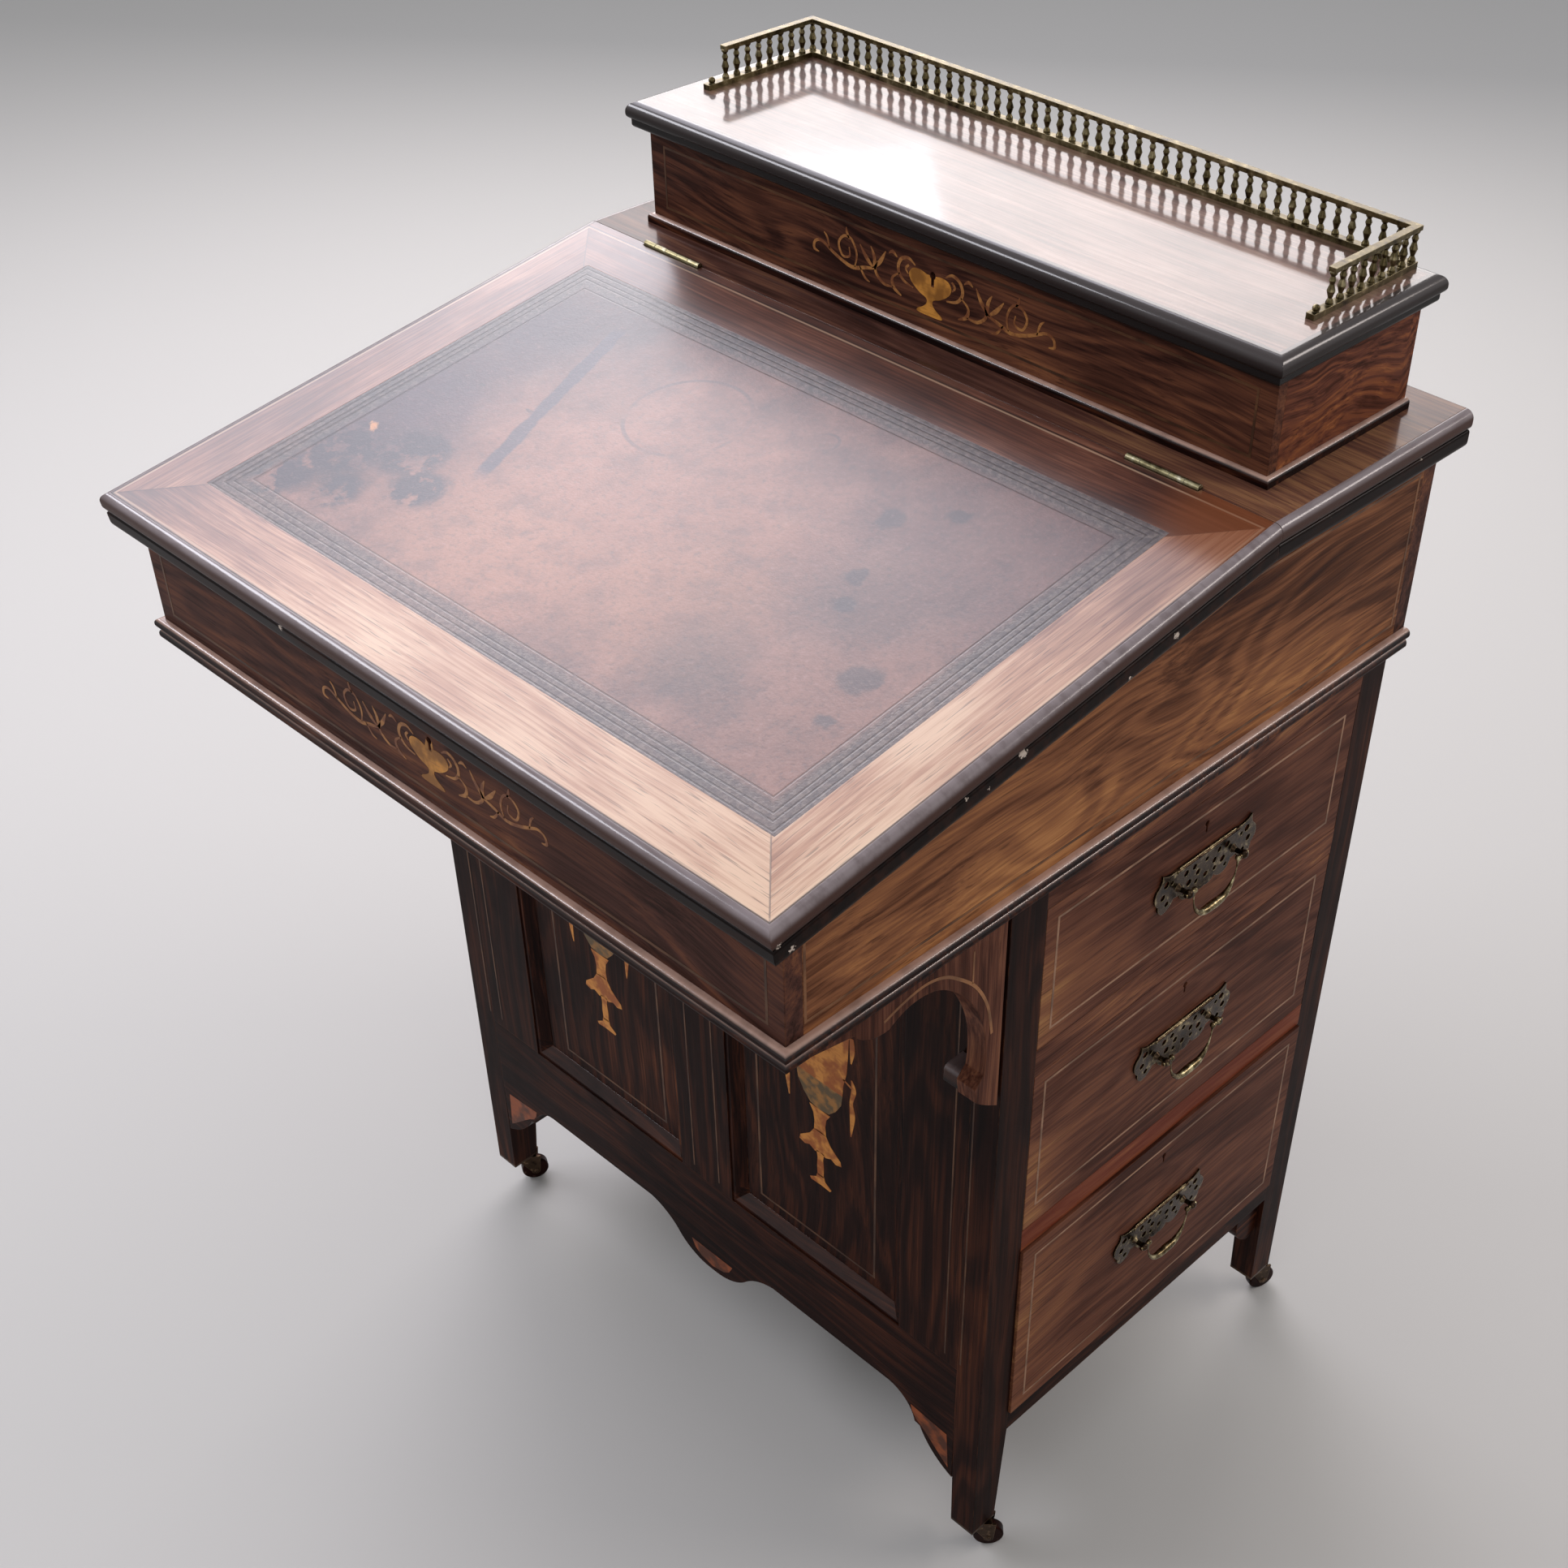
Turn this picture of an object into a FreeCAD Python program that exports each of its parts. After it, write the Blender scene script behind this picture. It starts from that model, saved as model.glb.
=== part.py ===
import FreeCAD, Part
import math
import os
from FreeCAD import Vector

# Davenport writing desk. Millimetres. +X is the sitter's right, -Y the sitter's side, +Z up.
# The origin is on the floor under the middle of the desk.

os.makedirs("parts", exist_ok=True)

# overall
half_width = 280.0
front_y = -280.0
back_y = 280.0
top_z = 764.0

# top board and sloping writing flap
top_rail_deep = 185.0
kink_y = back_y - top_rail_deep
flap_angle = math.atan(0.1484)
board_thick = 24.0
mould_width = 5.8
mould_round = 5.4
nose_high = 12.0
nose_under_round = 4.0
lower_member_set = 0.8
lower_member_round = 1.6
lower_member_foot = 5.0
nose_reach = mould_round * (math.sin(flap_angle) + math.cos(flap_angle) - 1.0)
flap_length = (kink_y - front_y + nose_reach) / math.cos(flap_angle)
flap_gap = 0.3
flap_axis_rise = 0.2
seat_gap = 0.2
leather_side_margin = 44.5
leather_back = 40.7
leather_front_margin = 46.6
leather_thick = 1.2
leather_half = half_width - leather_side_margin
leather_front = flap_length - leather_front_margin

# slope box under the flap
top_side_lap = 10.5
top_front_lap = 17.0
top_back_lap = 14.0
slope_box_high = 158.0
slope_half = half_width - top_side_lap
slope_front_y = front_y + top_front_lap
slope_back_y = back_y - top_back_lap
slope_wall = 12.0
slope_floor_z = top_z - slope_box_high
slope_floor_thick = 10.0
slope_key_drop = 97.5
slope_lock_wide = 40.0
slope_lock_high = 34.0
bead_rise = 1.0
bead_lower_high = 7.6
bead_upper_high = 7.0
bead_upper_out = 5.2
bead_lower_out = 4.2

# pedestal
box_side_lap = 4.3
knee_deep = 171.0
box_back_lap = 6.0
ped_half = slope_half - box_side_lap
ped_front_y = slope_front_y + knee_deep
ped_back_y = slope_back_y - box_back_lap
post_x = 22.0
front_post_y = 30.0
back_post_y = 25.0
foot_x = 20.4
foot_y = 23.0
foot_z = 30.0
taper_top_z = 123.0

# front frame and panels
frame_thick = 20.0
stile_wide = 53.2
muntin_half = 26.3
top_rail_high = 18.0
panel_outer_x = ped_half - post_x - stile_wide
panel_low_z = 195.0
panel_high_z = slope_floor_z - top_rail_high
panel_recess = 7.0
panel_thick = 8.0
panel_mould_width = 11.0
apron_tip_z = 76.0
arch_z = 130.0
pendant_z = 99.0

# drawers on the right side, false drawers on the left
drawer_low_y = ped_front_y + front_post_y
drawer_high_y = ped_back_y - back_post_y
drawer_bands = [(480.0, 586.0), (325.0, 459.0), (141.0, 306.0)]
rail_depth = 20.0
bottom_thick = 18.0
drawer_gap = 0.5
drawer_front_thick = 18.0
drawer_wall = 8.0
drawer_floor = 5.0
drawer_head_gap = 10.0
drawer_back_room = 90.4
drawer_length = 2 * ped_half - drawer_back_room
third_drawer_out = 2.0
runner_width = 22.0
runner_thick = 12.0
back_panel_thick = 8.0
back_panel_set = 4.0
side_panel_thick = 8.0
false_front_thick = 10.0
drawer_key_drop = 20.0
drawer_key_aside = 2.5

# drawer handles
handle_levels = [532.0, 395.0, 221.5]
handle_pitch = 53.6
plate_thick = 1.6
plate_half = 49.0
plate_rib = 1.3
handle_stand = 9.6
post_boss = 4.2
post_neck = 1.7
post_ball = 2.9
post_bore = 1.36
bail_pin = 1.30
bail_rod = 1.5
bail_grip = 2.9
bail_drop = 24.0
bail_side_gap = 2.6

# curved side brackets in the knee space
bracket_thick = 14.0
bracket_gap = 3.0
bracket_foot_z = 460.0
ledge_low_z = 469.0
ledge_high = 12.0
ledge_deep = 16.0
ledge_wide = 16.0

# small scrolled ears behind the back feet
ear_thick = 10.0
ear_set = 5.0
ear_long = 41.0

# stationery box with its lid
box_side_set = 33.0
box_back_set = 24.0
box_deep = 133.0
box_high = 62.0
box_half = half_width - box_side_set
box_back_y = back_y - box_back_set
box_front_y = box_back_y - box_deep
box_wall = 8.0
box_key_drop = 21.5
box_lock_wide = 36.0
box_lock_high = 32.0
lid_low_z = top_z + box_high
lid_side_lap = 8.7
lid_front_lap = 12.4
lid_back_lap = 9.8
lid_half = box_half + lid_side_lap
lid_front_y = box_front_y - lid_front_lap
lid_back_y = box_back_y + lid_back_lap
lid_thick = 16.0
lid_nose_high = 10.5
lid_round = 6.2
lid_under_round = 3.2
lid_lower_set = 2.6
lid_foot_round = 2.4
base_bead_out = 3.6
base_bead_high = 5.6
base_bead_round = 2.6

# brass gallery on the lid
gallery_side_set = 20.7
gallery_back_set = 8.8
gallery_half = lid_half - gallery_side_set
gallery_back_y = lid_back_y - gallery_back_set
gallery_side_bays = 8
gallery_side_step = 9.8
gallery_back_bays = 46
gallery_nose = 17.0
gallery_rail_width = 5.4
gallery_base_high = 3.4
gallery_rail_high = 2.8
gallery_high = 24.0
gallery_knob = 2.2

# hinges
hinge_x = 199.0
hinge_length = 51.0
knuckle_count = 5
knuckle_round = 2.3
knuckle_gap = 0.25
hinge_pin = 1.0
hinge_bore = 1.06
leaf_thick = 1.2
leaf_width = 17.0
lid_axis_back = 2.6
lid_axis_drop = 1.6
lid_axis_y = box_back_y + lid_axis_back
lid_axis_z = lid_low_z - lid_axis_drop

# casters
caster_wheel = 11.0
caster_wheel_width = 8.0
caster_trail = 12.0
caster_axle = 1.5
caster_bore = 1.58
caster_plate = 2.0
caster_cheek = 1.6
caster_cheek_gap = 0.6
swivel_pin = 2.5
swivel_bore = 2.57
swivel_wall = 0.8
swivel_depth = 13.0
trail_angles = {"fr": 45.0, "fl": 62.0, "br": 68.0, "bl": 60.0}


def block(x0, x1, y0, y1, z0, z1):
    return Part.makeBox(x1 - x0, y1 - y0, z1 - z0, Vector(x0, y0, z0))


def rod(radius, start, end):
    a = Vector(*start)
    b = Vector(*end)
    return Part.makeCylinder(radius, (b - a).Length, a, b - a)


def mirrored(shape):
    return shape.mirror(Vector(0, 0, 0), Vector(1, 0, 0))


def pair(shape):
    return Part.makeCompound([shape, mirrored(shape)])


def fused(shapes):
    result = shapes[0].multiFuse(shapes[1:]) if len(shapes) > 1 else shapes[0]
    return result.removeSplitter()


def cut_all(shape, tools):
    return shape.cut(Part.makeCompound(tools))


def save(name, shape):
    shape.exportStep("parts/" + name + ".step")


def prism_yz(points, x0, x1):
    wire = Part.makePolygon([Vector(x0, y, z) for y, z in points + points[:1]])
    return Part.Face(wire).extrude(Vector(x1 - x0, 0, 0))


def drawn(steps, place, reach):
    # steps are ("line", point) or ("arc", through, point) after the first bare point
    here = place(*steps[0])
    first = here
    edges = []
    for step in steps[1:]:
        end = place(*step[-1])
        if step[0] == "line":
            edges.append(Part.LineSegment(here, end).toShape())
        else:
            edges.append(Part.Arc(here, place(*step[1]), end).toShape())
        here = end
    if (here - first).Length > 1e-6:
        edges.append(Part.LineSegment(here, first).toShape())
    return Part.Face(Part.Wire(edges)).extrude(reach)


def edges_where(shape, test):
    found = []
    for edge in shape.Edges:
        if test(edge.BoundBox):
            found.append(edge)
    return found


def slope_under(y):
    drop = board_thick / math.cos(flap_angle)
    return top_z - drop - (kink_y - y) * math.tan(flap_angle)


def tilt(shape):
    # lays a flap piece modelled flat behind the hinge line onto the slope
    shape.rotate(Vector(0, 0, 0), Vector(1, 0, 0), math.degrees(flap_angle))
    shape.translate(Vector(0, kink_y, top_z))
    return shape


def keyhole(x_or_y, face, z, along, depth):
    # round hole over a slot, cut from a face along X ("x") or Y ("y")
    if along == "y":
        hole = rod(2.0, (x_or_y, face - 1, z), (x_or_y, face + depth, z))
        slot = block(x_or_y - 0.8, x_or_y + 0.8, face - 1, face + depth, z - 6.5, z)
    else:
        hole = rod(2.0, (face + 1, x_or_y, z), (face - depth, x_or_y, z))
        slot = block(face - depth, face + 1, x_or_y - 0.8, x_or_y + 0.8, z - 6.5, z)
    return fused([hole, slot])


# ---- posts and legs ----

def leg(y_face, y_inner, foot_inner):
    outer_x = ped_half
    inner_x = ped_half - post_x
    low_y = min(y_face, y_inner)
    high_y = max(y_face, y_inner)
    shaft = block(inner_x, outer_x, low_y, high_y, taper_top_z, slope_floor_z)
    top_ring = [(inner_x, low_y), (outer_x, low_y), (outer_x, high_y), (inner_x, high_y)]
    foot_low = min(y_face, foot_inner)
    foot_high = max(y_face, foot_inner)
    foot_in_x = outer_x - foot_x
    low_ring = [(foot_in_x, foot_low), (outer_x, foot_low), (outer_x, foot_high), (foot_in_x, foot_high)]
    high = Part.makePolygon([Vector(x, y, taper_top_z) for x, y in top_ring + top_ring[:1]])
    low = Part.makePolygon([Vector(x, y, foot_z) for x, y in low_ring + low_ring[:1]])
    taper = Part.makeLoft([low, high], True)
    centre_y = (y_face + foot_inner) / 2.0
    centre_x = outer_x - foot_x / 2.0
    socket = rod(swivel_pin + swivel_wall, (centre_x, centre_y, foot_z - 1), (centre_x, centre_y, foot_z + swivel_depth))
    return fused([shaft, taper]).cut(socket)


def front_leg():
    return leg(ped_front_y, ped_front_y + front_post_y, ped_front_y + foot_y)


def back_leg():
    return leg(ped_back_y, ped_back_y - back_post_y, ped_back_y - foot_y)


# ---- front frame ----

def front_frame():
    back = ped_front_y + frame_thick
    inner = ped_half - post_x
    stile = block(panel_outer_x, inner, ped_front_y, back, panel_low_z, slope_floor_z)
    muntin = block(-muntin_half, muntin_half, ped_front_y, back, panel_low_z, slope_floor_z)
    rails = []
    for side in (-1, 1):
        x0 = min(side * muntin_half, side * panel_outer_x)
        x1 = max(side * muntin_half, side * panel_outer_x)
        rails.append(block(x0, x1, ped_front_y, back, panel_high_z, slope_floor_z))
    return Part.makeCompound([stile, mirrored(stile), muntin] + rails)


def front_apron():
    inner = ped_half - post_x
    half = [
        (0, panel_low_z),
        ("line", (inner, panel_low_z)),
        ("line", (inner, apron_tip_z)),
        ("arc", (inner - 17.2, apron_tip_z + 11.0), (inner - 31.2, apron_tip_z + 30.0)),
        ("line", (inner - 36.2, apron_tip_z + 31.0)),
        ("arc", (inner - 44.2, arch_z - 8.0), (inner - 61.2, arch_z)),
        ("line", (66.0, arch_z + 1.0)),
        ("arc", (49.0, arch_z - 5.0), (35.0, pendant_z + 14.0)),
        ("arc", (19.0, pendant_z + 3.0), (0, pendant_z)),
    ]
    right = drawn(half, lambda x, z: Vector(x, ped_front_y, z), Vector(0, frame_thick, 0))
    return fused([right, mirrored(right)])


def front_panels():
    y0 = ped_front_y + panel_recess
    panel = block(muntin_half, panel_outer_x, y0, y0 + panel_thick, panel_low_z, panel_high_z)
    return pair(panel)


def panel_mouldings():
    # ring lying in each opening: full height at the frame, falling to the panel
    y1 = ped_front_y + panel_recess
    y0 = ped_front_y + 1.0
    outer = block(muntin_half, panel_outer_x, y0, y1, panel_low_z, panel_high_z)
    w = panel_mould_width
    rings = []
    for y, inset in ((y0, 3.0), (y1, w)):
        ring = [
            Vector(muntin_half + inset, y, panel_low_z + inset),
            Vector(panel_outer_x - inset, y, panel_low_z + inset),
            Vector(panel_outer_x - inset, y, panel_high_z - inset),
            Vector(muntin_half + inset, y, panel_high_z - inset),
        ]
        rings.append(Part.makePolygon(ring + ring[:1]))
    hollow = Part.makeLoft(rings, True)
    return pair(outer.cut(hollow))


# ---- sides, rails and runners ----

def rail_levels():
    return [(drawer_bands[0][1], slope_floor_z),
            (drawer_bands[1][1], drawer_bands[0][0]),
            (drawer_bands[2][1], drawer_bands[1][0])]


def side_rails():
    bars = []
    for low, high in rail_levels():
        bars.append(block(ped_half - rail_depth, ped_half, drawer_low_y, drawer_high_y, low, high))
        bars.append(block(-ped_half, -ped_half + false_front_thick, drawer_low_y, drawer_high_y, low, high))
    return Part.makeCompound(bars)


def left_side_panel():
    x1 = -ped_half + false_front_thick
    return block(x1, x1 + side_panel_thick, drawer_low_y, drawer_high_y, drawer_bands[2][0], slope_floor_z)


def left_false_fronts():
    fronts = []
    for low, high in drawer_bands:
        panel = block(-ped_half, -ped_half + false_front_thick, drawer_low_y + drawer_gap,
                      drawer_high_y - drawer_gap, low + drawer_gap, high - drawer_gap)
        hole = keyhole(key_centre_y(), ped_half, high - drawer_key_drop, "x", false_front_thick / 2.0)
        fronts.append(panel.cut(mirrored(hole)))
    return Part.makeCompound(fronts)


def drawer_runners():
    x1 = ped_half - rail_depth
    x0 = -ped_half + false_front_thick + side_panel_thick
    strips = []
    for low, high in drawer_bands[:2]:
        strips.append(block(x0, x1, drawer_low_y, drawer_low_y + runner_width, low - runner_thick, low))
        strips.append(block(x0, x1, drawer_high_y - runner_width, drawer_high_y, low - runner_thick, low))
    return Part.makeCompound(strips)


def back_panel():
    x = ped_half - post_x
    y1 = ped_back_y - back_panel_set
    return block(-x, x, y1 - back_panel_thick, y1, drawer_bands[2][0] - bottom_thick, slope_floor_z)


def bottom_board():
    z1 = drawer_bands[2][0]
    z0 = z1 - bottom_thick
    wide = block(-ped_half, ped_half, drawer_low_y, drawer_high_y, z0, z1)
    x = ped_half - post_x
    long = block(-x, x, ped_front_y + frame_thick, ped_back_y - back_panel_set - back_panel_thick, z0, z1)
    return fused([wide, long])


def foot_ears():
    x1 = ped_half - ear_set
    z1 = drawer_bands[2][0] - bottom_thick
    y1 = drawer_high_y
    shape = [
        (y1 + 1.0, z1),
        ("line", (y1 - ear_long, z1)),
        ("line", (y1 - ear_long + 1.0, z1 - 10.0)),
        ("line", (y1 - 25.0, z1 - 11.0)),
        ("arc", (y1 - 20.0, z1 - 32.0), (y1 - 9.0, z1 - 41.0)),
        ("arc", (y1 - 3.0, z1 - 40.0), (y1 + 1.0, z1 - 34.0)),
    ]
    ear = drawn(shape, lambda y, z: Vector(x1 - ear_thick, y, z), Vector(ear_thick, 0, 0))
    return pair(ear.cut(back_leg()))


def side_brackets():
    py = ped_front_y
    pz = slope_floor_z
    foot = bracket_foot_z
    shape = [
        (py - bracket_gap, pz),
        ("line", (py - bracket_gap, foot)),
        ("arc", (py - 13.0, foot + 7.0), (py - 21.2, foot + 14.0)),
        ("line", (py - 23.0, foot + 25.5)),
        ("line", (py - 16.0, foot + 33.0)),
        ("arc", (py - 22.7, pz - 63.0), (py - 47.0, pz - 30.0)),
        ("arc", (py - 68.0, pz - 20.0), (py - 94.0, pz - 26.5)),
        ("arc", (py - 106.0, pz - 25.0), (py - 120.0, pz - 14.0)),
        ("line", (slope_front_y + slope_wall, pz - 6.0)),
        ("line", (slope_front_y + slope_wall, pz)),
    ]
    board = drawn(shape, lambda y, z: Vector(ped_half - bracket_thick, y, z), Vector(bracket_thick, 0, 0))
    return pair(board)


def ledge_blocks():
    x1 = ped_half - bracket_thick
    y0 = ped_front_y - ledge_deep
    z1 = ledge_low_z + ledge_high
    ledge = block(x1 - ledge_wide, x1, y0, ped_front_y, ledge_low_z, z1)
    edge = edges_where(ledge, lambda b: b.YMax < y0 + 1 and b.ZMin > z1 - 1)
    return pair(ledge.makeFillet(ledge_high / 3.0, edge))


# ---- slope box ----

def slope_front():
    high = slope_under(slope_front_y) - seat_gap
    panel = block(-slope_half, slope_half, slope_front_y, slope_front_y + slope_wall, slope_floor_z, high)
    x = slope_lock_wide / 2.0
    recess = block(-x, x, slope_front_y + slope_wall / 2.0, slope_front_y + slope_wall + 1, high - slope_lock_high,
                   high + 1)
    hole = keyhole(0.0, slope_front_y, slope_key_z(), "y", slope_wall + 2)
    return cut_all(panel, [recess, hole])


def slope_key_z():
    return top_z - slope_key_drop


def slope_sides():
    y0 = slope_front_y + slope_wall
    y1 = slope_back_y - slope_wall
    flat = top_z - board_thick
    outline = [(y0, slope_floor_z), (y1, slope_floor_z), (y1, flat), (kink_y, flat),
               (kink_y, slope_under(kink_y) - seat_gap), (y0, slope_under(y0) - seat_gap)]
    return pair(prism_yz(outline, slope_half - slope_wall, slope_half))


def slope_back():
    y1 = slope_back_y
    return block(-slope_half, slope_half, y1 - slope_wall, y1, slope_floor_z, top_z - board_thick)


def slope_bottom():
    x = slope_half - slope_wall
    y0 = slope_front_y + slope_wall
    y1 = slope_back_y - slope_wall
    return block(-x, x, y0, y1, slope_floor_z, slope_floor_z + slope_floor_thick)


def slope_bead():
    rings = []
    low_z = slope_floor_z + bead_rise
    split_z = low_z + bead_lower_high
    high_z = split_z + bead_upper_high
    for low, high, out in ((low_z, split_z, bead_lower_out), (split_z, high_z, bead_upper_out)):
        body = block(-slope_half - out, slope_half + out, slope_front_y - out, slope_back_y, low, high)
        round_size = (high - low) * 0.46
        edges = edges_where(body, lambda b: b.YMin < slope_back_y - 1 and b.ZLength < 0.1)
        body = body.makeFillet(round_size, edges)
        rings.append(body)
    core = block(-slope_half, slope_half, slope_front_y, slope_back_y + 1, low_z - 1, high_z + 1)
    return fused(rings).cut(core)


# ---- top board, mouldings ----

def hinge_notches(y, z, length):
    cuts = []
    for x in (-hinge_x, hinge_x):
        cuts.append(rod(knuckle_round + 0.35, (x - length / 2 - 0.4, y, z), (x + length / 2 + 0.4, y, z)))
    return cuts


def top_rail():
    inner = half_width - mould_width
    board = block(-inner, inner, kink_y, back_y, top_z - board_thick, top_z)
    cuts = hinge_notches(kink_y, flap_axis_z(), hinge_length)
    for x in (-hinge_x, hinge_x):
        x0 = x - hinge_length / 2
        cuts.append(block(x0, x0 + hinge_length, kink_y - 1, kink_y + leaf_thick, flap_axis_z() - leaf_width,
                          top_z + 1))
    return cut_all(board, cuts)


def flap_axis_z():
    return top_z + flap_axis_rise


def rounded_member(x, y0, y1, low, high, upper_round, under_round, with_front):
    # one member of a moulding, rounded along both sides and, if asked, along the front
    body = block(-x, x, y0, y1, low, high)

    def outer(b):
        side = b.XLength < 0.1 and b.YLength > 100
        front = with_front and b.XLength > 100 and b.YMax < y0 + upper_round + 0.1
        return (side or front) and b.ZLength < 0.1

    if upper_round > 0:
        body = body.makeFillet(upper_round, edges_where(body, lambda b: outer(b) and b.ZMin > high - 0.1))
    return body.makeFillet(under_round, edges_where(body, lambda b: outer(b) and b.ZMax < low + 0.1))


def nosing(y0, y1, z1, with_front):
    # half-round nose over a smaller member that curves back under it
    split = z1 - nose_high
    upper = rounded_member(half_width, y0, y1, split, z1, mould_round, nose_under_round, with_front)
    front_set = lower_member_set if with_front else 0.0
    lower = rounded_member(half_width - lower_member_set, y0 + front_set, y1, z1 - board_thick, split,
                           lower_member_round, lower_member_foot, with_front)
    return fused([upper, lower])


def rail_mouldings():
    body = nosing(kink_y, back_y, top_z, False)
    inner = half_width - mould_width
    core = block(-inner, inner, kink_y - 1, back_y + 1, top_z - board_thick - 1, top_z + 1)
    return body.cut(core)


# ---- writing flap ----

def flap_cutters():
    behind = block(-half_width - 1, half_width + 1, kink_y - flap_gap, kink_y + 60, top_z - 60, top_z + 30)
    return behind


def flap_board():
    inner = half_width - mould_width
    body = block(-inner, inner, -flap_length + mould_width, 8.0, -board_thick, 0.0)
    well = block(-leather_half, leather_half, -leather_front, -leather_back, -leather_thick, 1.0)
    body = tilt(body.cut(well))
    cuts = [flap_cutters()] + hinge_notches(kink_y, flap_axis_z(), hinge_length)
    for x in (-hinge_x, hinge_x):
        x0 = x - hinge_length / 2
        cuts.append(block(x0, x0 + hinge_length, kink_y - flap_gap - leaf_thick, kink_y + 1,
                          flap_axis_z() - leaf_width, top_z + 1))
    return cut_all(body, cuts)


def flap_leather():
    return tilt(block(-leather_half, leather_half, -leather_front, -leather_back, -leather_thick, 0.0))


def flap_moulding():
    body = nosing(-flap_length, 8.0, 0.0, True)
    inner = half_width - mould_width
    core = block(-inner, inner, -flap_length + mould_width, 9.0, -board_thick - 1, 1.0)
    return tilt(body.cut(core)).cut(flap_cutters())


# ---- hinges: barrels along X, a leaf either side ----

def barrels(x, y, z, which):
    step = hinge_length / knuckle_count
    parts = []
    for i in range(knuckle_count):
        if (i % 2 == 0) != (which == "fixed"):
            continue
        x0 = x - hinge_length / 2 + i * step + knuckle_gap / 2
        x1 = x0 + step - knuckle_gap
        parts.append((x0, x1))
    return parts


def hinge_half(x, y, z, which, leaf):
    # leaf is (y0, y1, z0, z1) of the flat plate this half carries
    solids = []
    for x0, x1 in barrels(x, y, z, which):
        solids.append(rod(knuckle_round, (x0, y, z), (x1, y, z)))
        ly0, ly1, lz0, lz1 = leaf
        solids.append(block(x0, x1, min(ly0, y), max(ly1, y), min(lz0, z), max(lz1, z)).common(
            block(x0, x1, y - knuckle_round, y + knuckle_round, z - knuckle_round, z + knuckle_round)))
    x0 = x - hinge_length / 2
    plate = block(x0 + 0.2, x0 + hinge_length - 0.2, *leaf)
    other = []
    for b0, b1 in barrels(x, y, z, "moving" if which == "fixed" else "fixed"):
        other.append(rod(knuckle_round + 0.3, (b0 - knuckle_gap, y, z), (b1 + knuckle_gap, y, z)))
    plate = cut_all(plate, other)
    body = fused([plate] + solids)
    if which == "fixed":
        pin = rod(hinge_pin, (x - hinge_length / 2 + 0.3, y, z), (x + hinge_length / 2 - 0.3, y, z))
        return fused([body, pin])
    bore = rod(hinge_bore, (x - hinge_length / 2 - 1, y, z), (x + hinge_length / 2 + 1, y, z))
    return body.cut(bore)


def flap_leaf(which):
    z0 = flap_axis_z() - leaf_width
    z1 = top_z - seat_gap
    if which == "fixed":
        return (kink_y, kink_y + leaf_thick, z0, z1)
    return (kink_y - flap_gap - leaf_thick, kink_y - flap_gap, z0, z1)


def lid_leaf(which):
    if which == "fixed":
        return (box_back_y, box_back_y + leaf_thick, lid_axis_z - leaf_width, lid_axis_z)
    return (lid_axis_y - leaf_width, lid_axis_y, lid_low_z, lid_low_z + leaf_thick)


def hinge_leaves_fixed():
    shapes = []
    for x in (-hinge_x, hinge_x):
        shapes.append(hinge_half(x, kink_y, flap_axis_z(), "fixed", flap_leaf("fixed")))
        shapes.append(hinge_half(x, lid_axis_y, lid_axis_z, "fixed", lid_leaf("fixed")))
    return Part.makeCompound(shapes)


def flap_hinge_leaves():
    shapes = []
    for x in (-hinge_x, hinge_x):
        shapes.append(hinge_half(x, kink_y, flap_axis_z(), "moving", flap_leaf("moving")))
    return Part.makeCompound(shapes)


def lid_hinge_leaves():
    shapes = []
    for x in (-hinge_x, hinge_x):
        shapes.append(hinge_half(x, lid_axis_y, lid_axis_z, "moving", lid_leaf("moving")))
    return Part.makeCompound(shapes)


# ---- stationery box ----

def stationery_front():
    high = lid_low_z - seat_gap
    panel = block(-box_half, box_half, box_front_y, box_front_y + box_wall, top_z, high)
    x = box_lock_wide / 2.0
    recess = block(-x, x, box_front_y + box_wall / 2.0, box_front_y + box_wall + 1, high - box_lock_high, high + 1)
    hole = keyhole(0.0, box_front_y, box_key_z(), "y", box_wall + 2)
    return cut_all(panel, [recess, hole])


def box_key_z():
    return lid_low_z - box_key_drop


def stationery_walls():
    high = lid_low_z - seat_gap
    y0 = box_front_y + box_wall
    side = block(box_half - box_wall, box_half, y0, box_back_y, top_z, high)
    inner = box_half - box_wall
    back = block(-inner, inner, box_back_y - box_wall, box_back_y, top_z, high)
    return Part.makeCompound([side, mirrored(side), back])


def stationery_bead():
    out = base_bead_out
    body = block(-box_half - out, box_half + out, box_front_y - out, box_back_y, top_z, top_z + base_bead_high)
    edges = edges_where(body, lambda b: b.ZMin > top_z + 1 and b.ZLength < 0.1 and b.YMin < box_back_y - 1)
    body = body.makeFillet(base_bead_round, edges)
    core = block(-box_half, box_half, box_front_y, box_back_y + 1, top_z - 1, top_z + base_bead_high + 1)
    return body.cut(core)


def lock_case(half, y_face, wall, key_z, low, high):
    case = block(-half + 0.1, half - 0.1, y_face + wall / 2.0, y_face + wall, low + 0.1, high - 0.1)
    return case.cut(keyhole(0.0, y_face, key_z, "y", wall - 2.0))


def locks():
    high = slope_under(slope_front_y) - seat_gap
    slope_case = lock_case(slope_lock_wide / 2.0, slope_front_y, slope_wall, slope_key_z(), high - slope_lock_high,
                           high)
    high = lid_low_z - seat_gap
    box_case = lock_case(box_lock_wide / 2.0, box_front_y, box_wall, box_key_z(), high - box_lock_high, high)
    return Part.makeCompound([slope_case, box_case])


# ---- stationery lid ----

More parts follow.
